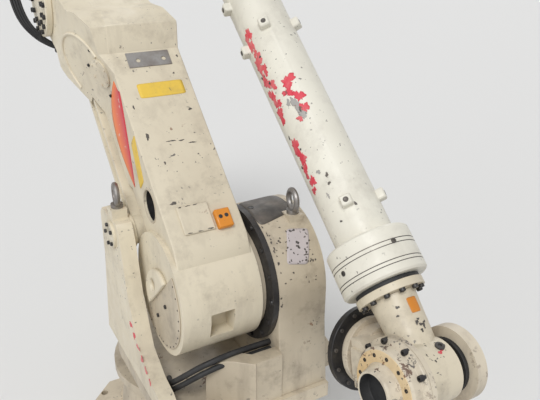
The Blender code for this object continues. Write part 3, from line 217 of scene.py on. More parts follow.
BLACK = cast_metal("black finished steel", rgb(0.018, 0.018, 0.02),
                   rgb(0.05, 0.045, 0.04), 0.38, 0.3)
RUBBER = cast_metal("black rubber", rgb(0.012, 0.012, 0.013), rgb(0.03, 0.03, 0.03),
                    0.6, 0.0, 60.0)
SCUFFED = worn_paint("scuffed grey patch", rgb(0.30, 0.29, 0.28), rgb(0.45, 0.43, 0.40),
                     grime=0.3, chips=0.62, rough=0.5)


def side_stripe_finish():
    """Orange at the rear edge and crimson at the front edge, read from the UV map."""
    made = Finish("orange to crimson stripe", 0.42)
    uv = made.tree.nodes.new("ShaderNodeTexCoord").outputs["UV"]
    split = made.tree.nodes.new("ShaderNodeSeparateXYZ")
    made.link(uv, split.inputs[0])
    tone = made.blend(made.step(split.outputs[0], 0.15, 0.85), rgb(0.86, 0.20, 0.04),
                      rgb(0.60, 0.03, 0.05))
    worn = made.step(made.noise(36.0, 7, 0.7), 0.63, 0.65)
    made.set("Base Color", made.blend(worn, tone, rgb(0.70, 0.62, 0.52)))
    return made.made


# ---------------------------------------------------------------- shapes
def frame_of(axis, rough=SIDE):
    """Two unit vectors square to the axis: its cross with a rough one, and again."""
    axis = np.asarray(axis, float) / np.linalg.norm(axis)
    if abs(axis @ rough) > 0.9:
        rough = REAR
    second = np.cross(axis, rough)
    second /= np.linalg.norm(second)
    return np.cross(second, axis), second, axis


def finish_mesh(name, points, material, body, wrap_u, wrap_v, wall=0.0, uv=False):
    """Meshes k grids of nu by nv points; a quad joins (i, j) to its three next points."""
    points = np.asarray(points, float)
    points = points[None] if points.ndim == 3 else points
    count, nu, nv, _ = points.shape
    i = np.arange(nu if wrap_u else nu - 1)[:, None]
    j = np.arange(nv if wrap_v else nv - 1)[None, :]
    i_next, j_next = (i + 1) % nu, (j + 1) % nv
    quads = np.stack(np.broadcast_arrays(i * nv + j, i_next * nv + j,
                                         i_next * nv + j_next, i * nv + j_next), -1)
    quads = quads.reshape(1, -1, 4) + (np.arange(count) * nu * nv)[:, None, None]
    mesh = bpy.data.meshes.new(name)
    mesh.from_pydata(points.reshape(-1, 3).tolist(), [], quads.reshape(-1, 4).tolist())
    if uv:
        corner = quads.reshape(-1) % (nu * nv)
        layer = mesh.uv_layers.new(name="surface")
        pairs = np.stack([(corner % nv) / (nv - 1), (corner // nv) / (nu - 1)], -1)
        layer.data.foreach_set("uv", pairs.ravel())
    shape = bmesh.new()
    shape.from_mesh(mesh)
    bmesh.ops.remove_doubles(shape, verts=shape.verts, dist=1e-6)
    bmesh.ops.dissolve_degenerate(shape, edges=shape.edges, dist=1e-7)
    bmesh.ops.recalc_face_normals(shape, faces=shape.faces)
    shape.to_mesh(mesh)
    shape.free()
    mesh.shade_smooth()
    mesh.set_sharp_from_angle(angle=SHARP)
    mesh.materials.append(material)
    made = bpy.data.objects.new(name, mesh)
    bpy.context.scene.collection.objects.link(made)
    if wall:
        skin = made.modifiers.new("wall", "SOLIDIFY")
        skin.thickness = wall
        skin.offset = 0.0
    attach(made, body)
    return made


def turned_points(profile, origin, axis, steps):
    """Point (u, v) = origin + h(u) axis + r(u) (cos v, sin v) in the axis's frame."""
    x, y, z = frame_of(axis)
    radius, height = np.asarray(profile, float).T
    turn = np.linspace(0.0, 2 * math.pi, steps, endpoint=False)
    round_ = np.cos(turn)[:, None] * x + np.sin(turn)[:, None] * y
    return (np.asarray(origin) + height[:, None, None] * z
            + radius[:, None, None] * round_[None])


def screw_points(spots, axis, radius, rise, sink=0.002, steps=24):
    """Socket heads: r(u, v) is a circle outside and, in the socket, a hexagon
    cos 30 / cos((v mod 60) - 30); one head's points are carried to every spot."""
    turn = np.linspace(0.0, 2 * math.pi, steps, endpoint=False)
    six = math.cos(math.pi / 6) / np.cos(turn % (math.pi / 3) - math.pi / 6)
    rings = np.array(((0.0, rise * 0.4, 1), (0.5, rise * 0.4, 1), (0.5, rise, 1),
                      (0.60, rise, 0), (0.90, rise, 0), (1.0, rise * 0.86, 0),
                      (1.0, -sink, 0), (0.0, -sink, 0)))
    size = rings[:, :1] * radius * np.where(rings[:, 2:] > 0, six, 1.0)
    x, y, z = frame_of(axis)
    one = (size[..., None] * (np.cos(turn)[:, None] * x + np.sin(turn)[:, None] * y)
           + rings[:, 1, None, None] * z)
    return np.asarray(spots, float)[:, None, None, :] + one[None]


def ring_spots(origin, axis, circle, count, start=0.0, rough=SIDE):
    """count places at origin + circle (cos a, sin a), a evenly spread from start."""
    x, y, _ = frame_of(axis, rough)
    turn = math.radians(start) + np.arange(count) * (2 * math.pi / count)
    return (np.asarray(origin) + circle * (np.cos(turn)[:, None] * x
                                           + np.sin(turn)[:, None] * y))


def on_tube(reach, angle, radius):
    """Tube place: reach along the axis, angle round it, at the given radius."""
    return (TUBE + reach[..., None] * AHEAD
            + radius * (np.cos(angle)[..., None] * SIDE + np.sin(angle)[..., None] * UP))


def on_drum(side, angle, radius):
    """Drum place: side along the shoulder axis, angle up from the front."""
    return (SHOULDER + side[..., None] * SIDE + radius * (
        np.sin(angle)[..., None] * RISE - np.cos(angle)[..., None] * REAR))


def on_front(side, along, forward):
    """Place on the lower arm's front, forward of the shoulder axis."""
    return (SHOULDER + side[..., None] * SIDE + along[..., None] * ALONG
            + forward * FORWARD)


def on_left(forward, along, side):
    """Place on the lower arm's left, at the given side."""
    return (SHOULDER + side * SIDE + forward[..., None] * FORWARD
            + along[..., None] * ALONG)


def flakes(name, where, spots, material, body, seed, rough=1.0):
    """Torn patches: s = s0 + a p R(t) cos t and q = q0 + b p R(t) sin t for p in 0..1,
    where R is 1 plus four sine waves of rising frequency with seeded phases."""
    spots = np.asarray(spots, float)
    phase = np.random.default_rng(seed).uniform(0, 2 * math.pi, (len(spots), 1, 4))
    share = np.linspace(0.0, 1.0, 6)[None, :, None]
    turn = np.linspace(0.0, 2 * math.pi, 72, endpoint=False)[None, None, :]
    wave = 1 + rough * sum(size * np.sin(turn * pace + phase[..., k:k + 1])
                           for k, (pace, size) in enumerate(
                               ((2, 0.20), (3, 0.17), (7, 0.11), (13, 0.07))))
    s, q, half_s, half_q = (spots[:, k, None, None] for k in range(4))
    first = s + half_s * share * wave * np.cos(turn)
    second = q + half_q * share * wave * np.sin(turn)
    finish_mesh(name, where(first, second), material, body, False, True, FLAKE_WALL)


def rounded_plate(name, where, centre, half, material, body, power):
    """A rounded rectangle: |s/a|^n + |q/b|^n = p^n, filled for p in 0..1."""
    share = np.linspace(0.0, 1.0, 8)[:, None]
    turn = np.linspace(0.0, 2 * math.pi, 96, endpoint=False)[None, :]
    reach = (np.abs(np.cos(turn)) ** power
             + np.abs(np.sin(turn)) ** power) ** (-1 / power)
    first = centre[0] + half[0] * share * reach * np.cos(turn)
    second = centre[1] + half[1] * share * reach * np.sin(turn)
    finish_mesh(name, where(first, second), material, body, False, True, PLATE_WALL)


def tube_points(path, radius, sides):
    """Each path point carries a circle square to its tangent; both ends close."""
    path = np.concatenate([path[:1], path, path[-1:]])
    tangent = np.gradient(path, axis=0)
    tangent[0], tangent[-1] = tangent[1], tangent[-2]
    tangent /= np.linalg.norm(tangent, axis=1)[:, None]
    first = np.cross(tangent, SIDE * 0.3 + np.array((0.0, 0.5, 0.8)))
    first /= np.linalg.norm(first, axis=1)[:, None]
    second = np.cross(tangent, first)
    turn = np.linspace(0.0, 2 * math.pi, sides, endpoint=False)[None, :, None]
    size = np.ones(len(path)) * radius
    size[[0, -1]] = 0.0
    return path[:, None] + size[:, None, None] * (np.cos(turn) * first[:, None]
                                                  + np.sin(turn) * second[:, None])


def smooth_path(points):
    """A Catmull-Rom curve: on each piece the cubic through its two points whose slopes
    are half the step between their neighbours."""
    points, steps = np.asarray(points, float), 10
    before = np.concatenate([points[:1], points[:-2]])[:, None]
    start, end = points[:-1][:, None], points[1:][:, None]
    after = np.concatenate([points[2:], points[-1:]])[:, None]
    t = np.linspace(0.0, 1.0, steps, endpoint=False)[None, :, None]
    curve = 0.5 * (2 * start + (end - before) * t
                   + (2 * before - 5 * start + 4 * end - after) * t ** 2
                   + (3 * start - before - 3 * end + after) * t ** 3)
    return np.concatenate([curve.reshape(-1, 3), points[-1:]])


def round_block(centre, half):
    """A superellipsoid: each unit sphere coordinate is raised to a small power."""
    power = 0.22
    rise = np.linspace(-math.pi / 2, math.pi / 2, 25)[:, None]
    turn = np.linspace(0.0, 2 * math.pi, 48, endpoint=False)[None, :]

    def soft(value):
        return np.sign(value) * np.abs(value) ** power

    unit = np.stack(np.broadcast_arrays(soft(np.cos(rise)) * soft(np.cos(turn)),
                                        soft(np.cos(rise)) * soft(np.sin(turn)),
                                        soft(np.sin(rise))), -1)
    return np.asarray(centre) + unit * np.asarray(half)


def span(first, second, half_reach, half_angle):
    """A flake's four numbers from reaches in metres and angles in degrees."""
    return (first, math.radians(second), half_reach, math.radians(half_angle))


def scattered(name, where, box, count, size, material, body, seed):
    """Torn specks: count seeded places in the box (s0, s1, q0, q1), each speck's two
    half sizes drawn between a third of size and size."""
    draw = np.random.default_rng(seed).uniform(0.0, 1.0, (count, 4))
    low, high = np.array(box[0::2]), np.array(box[1::2])
    spots = np.concatenate([low + (high - low) * draw[:, :2],
                            np.array(size) * (0.33 + 0.67 * draw[:, 2:])], axis=1)
    flakes(name, where, spots, material, body, seed + 1)


# ------------------------------------------------- castings and their finishes
def dressed(node, material, body, edge):
    """The node's own solid with its doubles merged, flats joined, round faces smooth
    and its sharp edges broken by a small bevel; it stands for the node."""
    mesh = NODES[node].data.copy()
    shape = bmesh.new()
    shape.from_mesh(mesh)
    bmesh.ops.remove_doubles(shape, verts=shape.verts, dist=2e-5)
    bmesh.ops.dissolve_limit(shape, angle_limit=math.radians(0.4), verts=shape.verts,
                             edges=shape.edges)
    shape.to_mesh(mesh)
    shape.free()
    mesh.shade_smooth()
    mesh.set_sharp_from_angle(angle=SHARP)
    mesh.materials.clear()
    mesh.materials.append(material)
    made = bpy.data.objects.new(node + "_dress", mesh)
    bpy.context.scene.collection.objects.link(made)
    if edge:
        broken = made.modifiers.new("edge", "BEVEL")
        broken.width = edge
        broken.segments = 2
        broken.limit_method = "ANGLE"
        broken.angle_limit = math.radians(40)
    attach(made, body)
    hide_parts(node)


BODY_OF = {node: body for body, nodes in frame["record"]["behaviour"]["bodies"].items()
           for node in nodes}
LOOKS = {
    "base_casting": CREAM_DARKER, "socket_box": CREAM_DARKER, "bearing_ring": DARK,
    "turning_table": CREAM_DARKER, "left_cheek": CREAM, "pivot_cap": CREAM,
    "right_column": CREAM_DARKER, "reducer_ring": BLACK, "left_eye_bolt": BARE,
    "right_eye_bolt": BARE, "turn_motor": BLACK, "drum_cover": CREAM,
    "lower_arm": CREAM, "hub_flange": CREAM_DARKER, "hub_cover": CREAM_DARKER,
    "access_cover": CREAM, "arm_pad": CREAM, "orange_stop": ORANGE,
    "elbow_flange": CREAM, "grey_plate": BARE, "tie_link": CREAM,
    "elbow_bracket": CREAM, "elbow_housing": CREAM_CLEAN,
    "forearm_tube": CREAM_CLEAN, "forearm_collar": CREAM_CLEAN, "neck_flange": CREAM,
    "wrist_neck": CREAM, "bend_cover": CREAM_SCRAPED, "bend_seal": RUBBER,
    "roll_housing": CREAM_SCRAPED, "roll_ring": CREAM_SCRAPED, "tool_flange": BLACK,
}
for node in sorted(set(NODES) - {"hose_bundle"}):
    look = LOOKS.get(node, BLACK if "motor" in node else CREAM)
    small = node in ("left_eye_bolt", "right_eye_bolt", "elbow_flange",
                     "pivot_cap", "access_cover", "reducer_ring")  # edges left as cut
    dressed(node, look, BODY_OF[node], 0.0 if small else EDGE_BREAK)

# ------------------------------------------------- lower arm and shoulder
rounded_plate("front_name_plate", lambda s, q: on_front(s, q, ARM_FRONT + 0.0006),
              (-0.1245, 0.550), (0.071, 0.0245), YELLOW, "lower_arm",
              14.0)
rounded_plate("side_name_plate", lambda s, q: on_left(s + 0.42 * (q - 0.352), q,
                                                      -ARM_LEFT - 0.0006),
              (0.150, 0.352), (0.025, 0.062), YELLOW, "lower_arm", 14.0)


def side_stripe():
    """A curved band: with s from 0 to 1 it runs down by s squared; its rear and front
    edges are quadratic curves of s, and the surface runs straight between them."""
    s = np.linspace(0.0, 1.0, 40)[:, None]
    share = np.linspace(0.0, 1.0, 9)[None, :]
    rear = (1 - s) ** 2 * 0.180 + 2 * s * (1 - s) * -0.030 + s ** 2 * 0.050
    front = (1 - s) ** 2 * 0.190 + 2 * s * (1 - s) * 0.235 + s ** 2 * 0.056
    forward = rear + (front - rear) * share
    along = 0.612 - 0.292 * s ** 2 - 0.05 * share * (1 - s)
    points = on_left(forward, along, -ARM_LEFT - 0.0005)
    finish_mesh("side_stripe", points, side_stripe_finish(), "lower_arm",
                False, False, 0.0006, uv=True)


side_stripe()
flakes("front_chips", lambda s, q: on_front(s, q, ARM_FRONT + 0.0003),
       [(-0.214, 0.40, 0.004, 0.012), (-0.060, 0.47, 0.005, 0.004),
        (-0.190, 0.31, 0.003, 0.004), (-0.090, 0.36, 0.010, 0.002),
        (-0.150, 0.375, 0.012, 0.002), (-0.120, 0.372, 0.008, 0.002),
        (-0.205, 0.185, 0.010, 0.004), (-0.070, 0.60, 0.003, 0.003),
        (-0.040, 0.66, 0.003, 0.004), (-0.225, 0.50, 0.002, 0.008)],
       DARK, "lower_arm", 3)
flakes("pad_rust", lambda s, q: on_front(s, q, ARM_FRONT + 0.0074),
       [(-0.195, 0.1665, 0.005, 0.0014), (-0.172, 0.1668, 0.007, 0.0012),
        (-0.150, 0.1665, 0.006, 0.0014), (-0.128, 0.0890, 0.007, 0.0018),
        (-0.190, 0.0880, 0.006, 0.0014), (-0.160, 0.0878, 0.006, 0.0012)],
       DARK, "lower_arm", 5)
STOP_FACE = SHOULDER + SIDE * -0.0945 + ALONG * 0.112 + FORWARD * 0.2252
HOLE_STEPS = np.array([[0.0, 0.0, 0.0], SIDE * 0.018 + ALONG * 0.001])
stop_hole = turned_points(((0.0, 0.0004), (0.0052, 0.0004), (0.0060, 0.0),
                           (0.0060, -0.002)), STOP_FACE, FORWARD, 24)
finish_mesh("stop_holes", stop_hole[None] + HOLE_STEPS[:, None, None], BLACK,
            "lower_arm", False, True)
# The round hole in the arm's left side.
HOLE = SHOULDER + SIDE * -ARM_LEFT + FORWARD * 0.131 + ALONG * 0.221
finish_mesh("side_hole_rim", turned_points(
    ((0.0460, -0.001), (0.0460, 0.0010), (0.0475, 0.0018), (0.0495, 0.0018),
     (0.0510, 0.0006), (0.0510, -0.001)), HOLE, -SIDE, 64), CREAM_DARKER, "lower_arm",
    False, True)
finish_mesh("side_hole_liner", turned_points(
    ((0.0457, -0.0060), (0.0457, -0.0640), (0.0450, -0.0690), (0.0, -0.0690)), HOLE,
    -SIDE, 48), BLACK, "lower_arm", False, True)

finish_mesh("cover_screws", screw_points(
    COVER + np.array(((0, -0.0586, -0.0105), (0, 0.0107, -0.0788))), -SIDE, 0.0062,
    0.0045), BLACK, "lower_arm", False, True)
rim_spots = ring_spots(COVER, -SIDE, 0.157, 30)
finish_mesh("cover_rim_screws", screw_points(
    rim_spots[[(spot - COVER) @ EDGE_OUT < -0.012 for spot in rim_spots]], -SIDE, 0.0024,
    0.0012, 0.001, 12), DARK, "lower_arm", False, True)


def hub_lug():
    """A D-shaped eye on the cover's straight edge: the outer half ellipse and the
    window's rounded triangle are both radii of angle, and the face runs between them."""
    turn = np.linspace(0.0, 2 * math.pi, 73)[None, :]
    share = np.linspace(0.0, 1.0, 7)[:, None]
    inner_s = 0.022 * np.cos(turn) + 0.004
    inner_n = 0.019 * np.sin(turn) + 0.030
    outer_s = 0.094 * np.cos(turn) + 0.008
    outer_n = np.where(np.sin(turn) > 0, 0.070 * np.sin(turn), 0.002 * np.sin(turn))
    s = inner_s + (outer_s - inner_s) * share
    n = inner_n + (outer_n - inner_n) * share
    point = (SHOULDER - SIDE * 0.2690 + s[..., None] * EDGE_RUN
             + n[..., None] * EDGE_OUT)
    finish_mesh("hub_lug", point, CREAM, "lower_arm", False, False, 0.014)


hub_lug()
FLANGE_FACE = ELBOW - SIDE * 0.3523 - ALONG * 0.122  # the elbow flange's outer face
finish_mesh("elbow_flange_bolts", screw_points(np.concatenate([
    ring_spots(FLANGE_FACE, -SIDE, 0.1012, 16, rough=REAR),
    ring_spots(FLANGE_FACE, -SIDE, 0.0713, 12, rough=REAR)]), -SIDE, 0.0082, 0.0088),
    BLACK, "lower_arm", False, True)

PIVOT_CAP = np.array((-0.2573, -0.0364, 0.8569))
finish_mesh("pivot_cap_screws", screw_points(
    ring_spots(PIVOT_CAP, -SIDE, 0.032, 5, rough=REAR), -SIDE, 0.0060, 0.0068), BLACK,
    "turntable", False, True)
pocket_fore, pocket_rise = np.array(((0.113, 0.721), (0.110, 0.606), (0.178, 0.728))).T
finish_mesh("pocket_screws", screw_points(
    SHOULDER + pocket_fore[:, None] * FORWARD + pocket_rise[:, None] * ALONG
    - (ARM_LEFT + SLANT * np.maximum(pocket_rise - SLANT_FROM, 0.0))[:, None] * SIDE,
    -SIDE - 0.34 * ALONG, 0.0050, 0.0045, 0.004), BLACK, "lower_arm",
    False, True)


def elbow_hoses():
    """Four hoses side by side: one looped route through nine steps, offset by a pitch
    across it, swept with a round section from clip to clip."""
    near, pitch, radius = ELBOW - SIDE * 0.329, 0.0092, 0.0046
    steps = np.array(((-0.006, 0.041, 0.066), (-0.048, 0.031, 0.062),
                      (-0.084, 0.016, 0.028), (-0.098, -0.009, -0.034),
                      (-0.094, -0.034, -0.104), (-0.076, -0.049, -0.159),
                      (-0.041, -0.064, -0.204), (-0.006, -0.079, -0.229),
                      (0.024, -0.092, -0.243)))
    share = np.minimum(1.0, np.arange(9) / 2.0)[:, None]
    across = np.array((0.872, -0.489, 0.0))
    hoses = []
    for i in range(4):
        route = near + steps + pitch * i * (across * share + RISE * (1 - share))
        hoses.append(tube_points(smooth_path(route), radius, 14))
    made = finish_mesh("elbow_hoses", np.stack(hoses), RUBBER, "lower_arm",
                       False, True)
    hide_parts("hose_bundle")
    for name, place, half in (
            ("hose_clip_upper", near + steps[0] + RISE * 0.013, (0.012, 0.010, 0.020)),
            ("hose_clip_lower", near + steps[-1] + across * 0.013,
             (0.024, 0.009, 0.011))):
        finish_mesh(name, round_block(place, half), RUBBER, "lower_arm",
                    False, True)


elbow_hoses()


def pocket_rib():
    """The pocket's arched lip: a bead swept along a curve on the arm's slanted side."""
    fore = np.array((-0.030, -0.015, 0.025, 0.075, 0.125, 0.165, 0.183, 0.180))
    rise = np.array((0.735, 0.790, 0.832, 0.845, 0.832, 0.795, 0.745, 0.700))
    side = -ARM_LEFT - np.maximum(rise - SLANT_FROM, 0.0) * SLANT
    route = (SHOULDER + side[:, None] * SIDE + fore[:, None] * FORWARD
             + rise[:, None] * ALONG)
    finish_mesh("pocket_rib", tube_points(smooth_path(route), 0.0050, 12), CREAM,
                "lower_arm", False, True)


pocket_rib()


def hub_cables():
    """Three cables under the hub, swept from the column's foot to the table's top."""
    route = np.array(((0.120, -0.390, 0.570), (0.060, -0.402, 0.582),
                      (-0.040, -0.406, 0.584), (-0.120, -0.396, 0.566),
                      (-0.172, -0.355, 0.515), (-0.182, -0.290, 0.455),
                      (-0.165, -0.225, 0.418)))
    steps = np.array(((0.0, 0.0, 0.0), (0.0, 0.016, -0.016), (0.0, -0.004, -0.024)))
    radius = 0.0085
    cables = [tube_points(smooth_path(route + step), radius, 14) for step in steps]
    finish_mesh("hub_cables", np.stack(cables), RUBBER, "turntable",
                False, True)


hub_cables()
CHEEK_FACE = SIDE * -0.2494
flakes("cheek_red_remnants",
       lambda s, q: CHEEK_FACE + s[..., None] * REAR + q[..., None] * RISE,
       [(-0.150, 0.600, 0.011, 0.010), (-0.176, 0.575, 0.010, 0.012),
        (-0.205, 0.552, 0.012, 0.007), (-0.238, 0.530, 0.011, 0.011),
        (-0.268, 0.508, 0.010, 0.010), (-0.300, 0.488, 0.008, 0.009)],
       RED, "turntable", 61, 1.4)
rounded_plate("drum_top_bare",
              lambda s, q: on_drum(s, q + 1.2 * (s - 0.085), DRUM_RADIUS + 0.0005),
              (0.085, math.radians(90)), (0.066, math.radians(21)), DARK, "turntable",
              7.0)
finish_mesh("drum_top_hole", turned_points(
    ((0.0, 0.0014), (0.0062, 0.0014), (0.0088, 0.0022), (0.0100, 0.0008),
     (0.0100, -0.001)), SHOULDER + SIDE * 0.037 + RISE * DRUM_RADIUS,
    RISE, 32), BLACK, "turntable", False, True)
rounded_plate("drum_faded_patch",
              lambda s, q: on_drum(s + 0.075 * (q - math.radians(41)),
                                   q - 1.1 * (s - 0.108), DRUM_RADIUS + 0.0004),
              (0.108, math.radians(41)), (0.034, math.radians(14)), PALE, "turntable",
              9.0)


def drum_skin(s, q):
    """Drum place just proud of its paint."""
    return on_drum(s, q, DRUM_RADIUS + 0.0009)


scattered("drum_specks_front", drum_skin,
          (0.034, 0.150, math.radians(8), math.radians(62)),
          34, (0.0030, math.radians(0.9)), DARK, "turntable", 41)
scattered("drum_specks_patch", drum_skin,
          (0.078, 0.150, math.radians(26), math.radians(56)),
          26, (0.0045, math.radians(1.1)), DARK, "turntable", 43)
scattered("drum_specks_edge", drum_skin,
          (0.024, 0.036, math.radians(-5), math.radians(64)),
          16, (0.0030, math.radians(1.3)), DARK, "turntable", 45)

# ------------------------------------------------- forearm
flakes("tube_red_remnants", lambda s, q: on_tube(s, q, TUBE_RADIUS + 0.0005), [
    span(0.565, 166, 0.022, 9), span(0.600, 172, 0.025, 7.5), span(0.632, 168, 0.011, 6),
    span(0.668, 172, 0.029, 12), span(0.700, 163, 0.016, 7.5),
    span(0.735, 175, 0.022, 10.5),
    span(0.762, 160, 0.013, 7.5), span(0.790, 176, 0.025, 9),
    span(0.822, 168, 0.013, 7.5),
    span(0.855, 176, 0.022, 10.5), span(0.780, 128, 0.020, 13.5),
    span(0.812, 138, 0.013, 9),
    span(0.838, 121, 0.018, 9), span(0.880, 122, 0.020, 7.5), span(0.965, 176, 0.025, 9),
    span(1.005, 172, 0.022, 10.5), span(1.046, 178, 0.020, 7.5),
    span(1.085, 172, 0.016, 7.5),
    span(0.905, 138, 0.008, 6), span(1.110, 180, 0.011, 6)],
    RED, "forearm", 21, 1.35)
flakes("tube_bare_patches", lambda s, q: on_tube(s, q, TUBE_RADIUS + 0.0008), [
    span(0.862, 134, 0.026, 7), span(0.895, 129, 0.016, 6), span(0.842, 146, 0.010, 4),
    span(1.075, 150, 0.006, 4), span(1.150, 152, 0.008, 2)],
    SCUFFED, "forearm", 22, 1.2)
flakes("tube_dark_chips", lambda s, q: on_tube(s, q, TUBE_RADIUS + 0.0011), [
    span(0.655, 160, 0.004, 2), span(0.712, 182, 0.005, 2), span(0.748, 166, 0.006, 2),
    span(0.880, 130, 0.008, 2), span(1.030, 184, 0.005, 2), span(1.095, 137, 0.006, 3),
    span(1.120, 140, 0.004, 3), span(1.205, 112, 0.006, 2), span(1.232, 150, 0.003, 2),
    span(0.930, 182, 0.006, 2), span(0.985, 165, 0.004, 1.5)],
    DARK, "forearm", 23)

BOSS_FACE = TUBE_RADIUS + 0.0223
BOSSES = ((0.43, 187), (0.57, 122), (0.57, 42), (0.60, 190), (1.19, 125), (1.19, 40))


def boss_holes():
    """Tapped holes: a shallow turned cup on each boss's outer face."""
    for i, (reach, degrees) in enumerate(BOSSES):
        turn = math.radians(degrees)
        out = math.cos(turn) * SIDE + math.sin(turn) * UP
        origin = TUBE + reach * AHEAD + BOSS_FACE * out
        finish_mesh("boss_hole_%d" % (i + 1), turned_points(
            ((0.0, -0.0002), (0.0050, -0.0002), (0.0064, 0.0005), (0.0078, 0.0003),
             (0.0080, -0.001)), origin, out, 28), DARK, "forearm",
            False, True)


boss_holes()
COLLAR_FROM, COLLAR_LONG, COLLAR_RADIUS = 1.295, 0.1325, 0.1205
for i, share in enumerate((0.33, 0.42, 0.72, 0.80)):
    reach = COLLAR_FROM + COLLAR_LONG * share
    finish_mesh("collar_line_%d" % (i + 1), turned_points(
        ((0.1199, reach - 0.0011), (0.1210, reach - 0.0011), (0.1210, reach + 0.0011),
         (0.1199, reach + 0.0011)), TUBE, AHEAD, 128), DARK, "forearm",
        True, True)
for i, (reach, degrees) in enumerate(((1.345, 92), (1.366, 172))):
    out = math.cos(math.radians(degrees)) * SIDE + math.sin(math.radians(degrees)) * UP
    finish_mesh("collar_plug_%d" % (i + 1), screw_points(
        [TUBE + reach * AHEAD + COLLAR_RADIUS * out], out, 0.0075, 0.0025), DARK,
        "forearm", False, True)

# ------------------------------------------------- wrist
# The neck's seat: the collar's end, the gap after it and the flange's thickness.
NECK_SEAT = TUBE + (1.4275 + 0.0123 + 0.022) * AHEAD
finish_mesh("neck_screws", screw_points(
    ring_spots(NECK_SEAT, AHEAD, 0.083, 12, 12.0), AHEAD, 0.0085, 0.009, 0.003),
    BLACK, "wrist_rotor", False, True)
# A black ring in the gap between the collar and the neck flange: painted shadow, made
# with the black rubber finish.
finish_mesh("collar_shadow_ring", turned_points(
    ((0.0866, 1.4284), (0.0915, 1.4284), (0.0915, 1.4394), (0.0866, 1.4394)), TUBE, AHEAD,
    96), RUBBER, "wrist_rotor", True, True)


def on_neck(reach, angle, proud=0.0007):
    """Place on the neck's cone, whose radius falls evenly with the reach."""
    start, start_radius, taper = 1.4621, 0.06496, 0.0608
    radius = (start_radius - taper * (reach - start) + proud)[..., None]
    return TUBE + reach[..., None] * AHEAD + radius * (
        np.cos(angle)[..., None] * SIDE + np.sin(angle)[..., None] * UP)


rounded_plate("neck_orange_patch", on_neck, (1.507, math.radians(81.5)),
              (0.0205, math.radians(15)), ORANGE, "wrist_rotor", 9.0)
flakes("neck_specks", lambda s, q: on_neck(s, q, 0.0009), [
    span(1.552, 95, 0.006, 4), span(1.560, 86, 0.004, 5), span(1.566, 78, 0.007, 3),
    span(1.545, 88, 0.003, 3), span(1.575, 90, 0.004, 4), span(1.556, 72, 0.003, 4),
    span(1.500, 124, 0.004, 4), span(1.520, 132, 0.003, 3)],
    DARK, "wrist_rotor", 31, 1.3)
CROSS_RADIUS = 0.0846  # just proud of the cross housing
PLUG = math.cos(math.radians(-121)) * AHEAD + math.sin(math.radians(-121)) * BEND_SIDE
finish_mesh("cross_plug", screw_points(
    [WRIST + BEND_AXIS * 0.011 + 0.0838 * PLUG], PLUG, 0.0130, 0.005, 0.004), DARK,
    "wrist_rotor", False, True)


def on_cross(side, angle):
    """Place on the cross housing, side along the bend axis and angle round it."""
    return (WRIST + side[..., None] * BEND_AXIS + CROSS_RADIUS * (
        np.cos(angle)[..., None] * AHEAD + np.sin(angle)[..., None] * BEND_SIDE))


flakes("cross_red_mark", on_cross,
       [span(-0.002, -110, 0.005, 3.5), span(0.006, -113, 0.003, 2.5)],
       RED, "wrist_rotor", 71, 1.2)
scattered("cross_specks", on_cross,
          (-0.075, 0.035, math.radians(-150), math.radians(-95)),
          16, (0.0028, math.radians(2.0)), DARK, "wrist_rotor", 73)

# From the wrist's centre: the bolted face and the cap on the bend axis, and the
# flange's back and outer face on the tool axis.
FACE_AT, CAP_AT, TOOL_BACK_AT, TOOL_FACE_AT = 0.115, 0.151, 0.2418, 0.262
CAP = WRIST - BEND_AXIS * CAP_AT
finish_mesh("face_screws", screw_points(
    ring_spots(WRIST - BEND_AXIS * FACE_AT, -BEND_AXIS, 0.1140, 10, 8.0), -BEND_AXIS,
    0.0080, 0.013, 0.004), BLACK, "wrist_yoke", False, True)
finish_mesh("ochre_ring", turned_points(
    ((0.0690, 0.1506), (0.0690, 0.1522), (0.0985, 0.1522), (0.1000, 0.1506)), WRIST,
    -BEND_AXIS, 128), OCHRE, "wrist_yoke", True, True)
finish_mesh("bore_lip", turned_points(
    ((0.0502, 0.1846), (0.0502, 0.1862), (0.0556, 0.1858), (0.0590, 0.1790),
     (0.0570, 0.1790)), WRIST, -BEND_AXIS, 128), CREAM_SCRAPED, "wrist_yoke",
    True, True)
finish_mesh("cap_screws", screw_points(
    ring_spots(CAP, -BEND_AXIS, 0.0860, 12, 3.0), -BEND_AXIS, 0.0052, 0.0030, 0.002),
    BLACK, "wrist_yoke", False, True)
finish_mesh("bore_liner", turned_points(
    ((0.0, 0.1555), (0.0470, 0.1560), (0.0492, 0.1600), (0.0494, 0.1852),
     (0.0500, 0.1855)), WRIST, -BEND_AXIS, 96), RUBBER, "wrist_yoke",
    False, True)
TOOL_FACE = WRIST + TOOL_AXIS * TOOL_FACE_AT
finish_mesh("tool_screws", screw_points(
    ring_spots(TOOL_FACE, TOOL_AXIS, 0.104, 12), TOOL_AXIS, 0.0070, 0.002, 0.004),
    BLACK, "tool_flange", False, True)
finish_mesh("tool_back_screws", screw_points(
    ring_spots(WRIST + TOOL_AXIS * TOOL_BACK_AT, TOOL_AXIS, 0.1105, 12, 15.0), -TOOL_AXIS,
    0.0058, 0.005, 0.002), DARK, "tool_flange", False, True)

# ------------------------------------------------- floor, light and camera
floor_mesh = bpy.data.meshes.new("floor")
floor_mesh.from_pydata([(-30, -30, 0), (30, -30, 0), (30, 30, 0), (-30, 30, 0)], [],
                       [(0, 1, 2, 3)])
ground = Finish("pale floor", 0.85)
ground.set("Base Color", rgb(0.74, 0.74, 0.73))
floor_mesh.materials.append(ground.made)
floor = bpy.data.objects.new("floor", floor_mesh)
bpy.context.scene.collection.objects.link(floor)


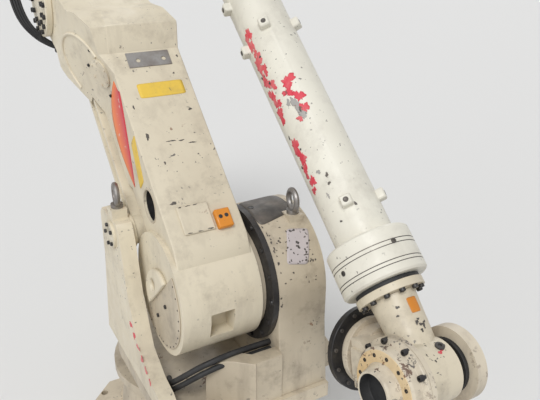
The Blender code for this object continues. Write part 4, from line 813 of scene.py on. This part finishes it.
def sun(name, place, strength, spread):
    """A distant lamp shining from the place towards the origin, with soft edges."""
    lamp = bpy.data.lights.new(name, "SUN")
    lamp.energy = strength
    lamp.angle = math.radians(spread)
    made = bpy.data.objects.new(name, lamp)
    made.rotation_euler = (-Vector(place)).to_track_quat("-Z", "Y").to_euler()
    bpy.context.scene.collection.objects.link(made)


sun("key", (-2.4, -3.0, 4.4), 1.75, 22)
sun("fill", (-3.0, -1.0, 1.2), 0.35, 40)
sun("back", (2.5, 3.2, 3.0), 0.45, 30)
ROOM_LIGHT, ROOM_SEEN = 0.50, 0.90  # what the room gives, and what the camera sees of it
world = bpy.data.worlds.new("studio")
world.use_nodes = True
sky = world.node_tree.nodes["Background"]
sky.inputs["Color"].default_value = rgb(0.90, 0.90, 0.91)
seen = world.node_tree.nodes.new("ShaderNodeLightPath")
level = world.node_tree.nodes.new("ShaderNodeMapRange")
level.inputs["To Min"].default_value = ROOM_LIGHT
level.inputs["To Max"].default_value = ROOM_SEEN
either = world.node_tree.nodes.new("ShaderNodeMath")
either.operation = "MAXIMUM"
through = world.node_tree.nodes.new("ShaderNodeMath")
through.operation = "MAXIMUM"
world.node_tree.links.new(seen.outputs["Is Camera Ray"], either.inputs[0])
world.node_tree.links.new(seen.outputs["Is Glossy Ray"], either.inputs[1])
world.node_tree.links.new(either.outputs[0], through.inputs[0])
world.node_tree.links.new(seen.outputs["Is Transmission Ray"], through.inputs[1])
world.node_tree.links.new(through.outputs[0], level.inputs["Value"])
world.node_tree.links.new(level.outputs["Result"], sky.inputs["Strength"])
bpy.context.scene.world = world

CAMERA_PLACE, LENS_MM = (-0.692, -1.798, 1.762), 43.5
YAW, PITCH, TILT = math.radians(29.3), math.radians(24.2), -0.008
lens = bpy.data.cameras.new("photo_camera")
lens.sensor_width = 36.0
lens.lens = LENS_MM
lens.clip_end = 200.0
camera = bpy.data.objects.new("photo_camera", lens)
camera.matrix_world = (Matrix.Translation(CAMERA_PLACE)
                       @ Matrix.Rotation(-YAW, 4, "Z")
                       @ Matrix.Rotation(math.pi / 2 - PITCH, 4, "X")
                       @ Matrix.Rotation(-TILT, 4, "Z"))
bpy.context.scene.collection.objects.link(camera)
bpy.context.scene.camera = camera
bpy.context.scene.view_settings.view_transform = "Standard"
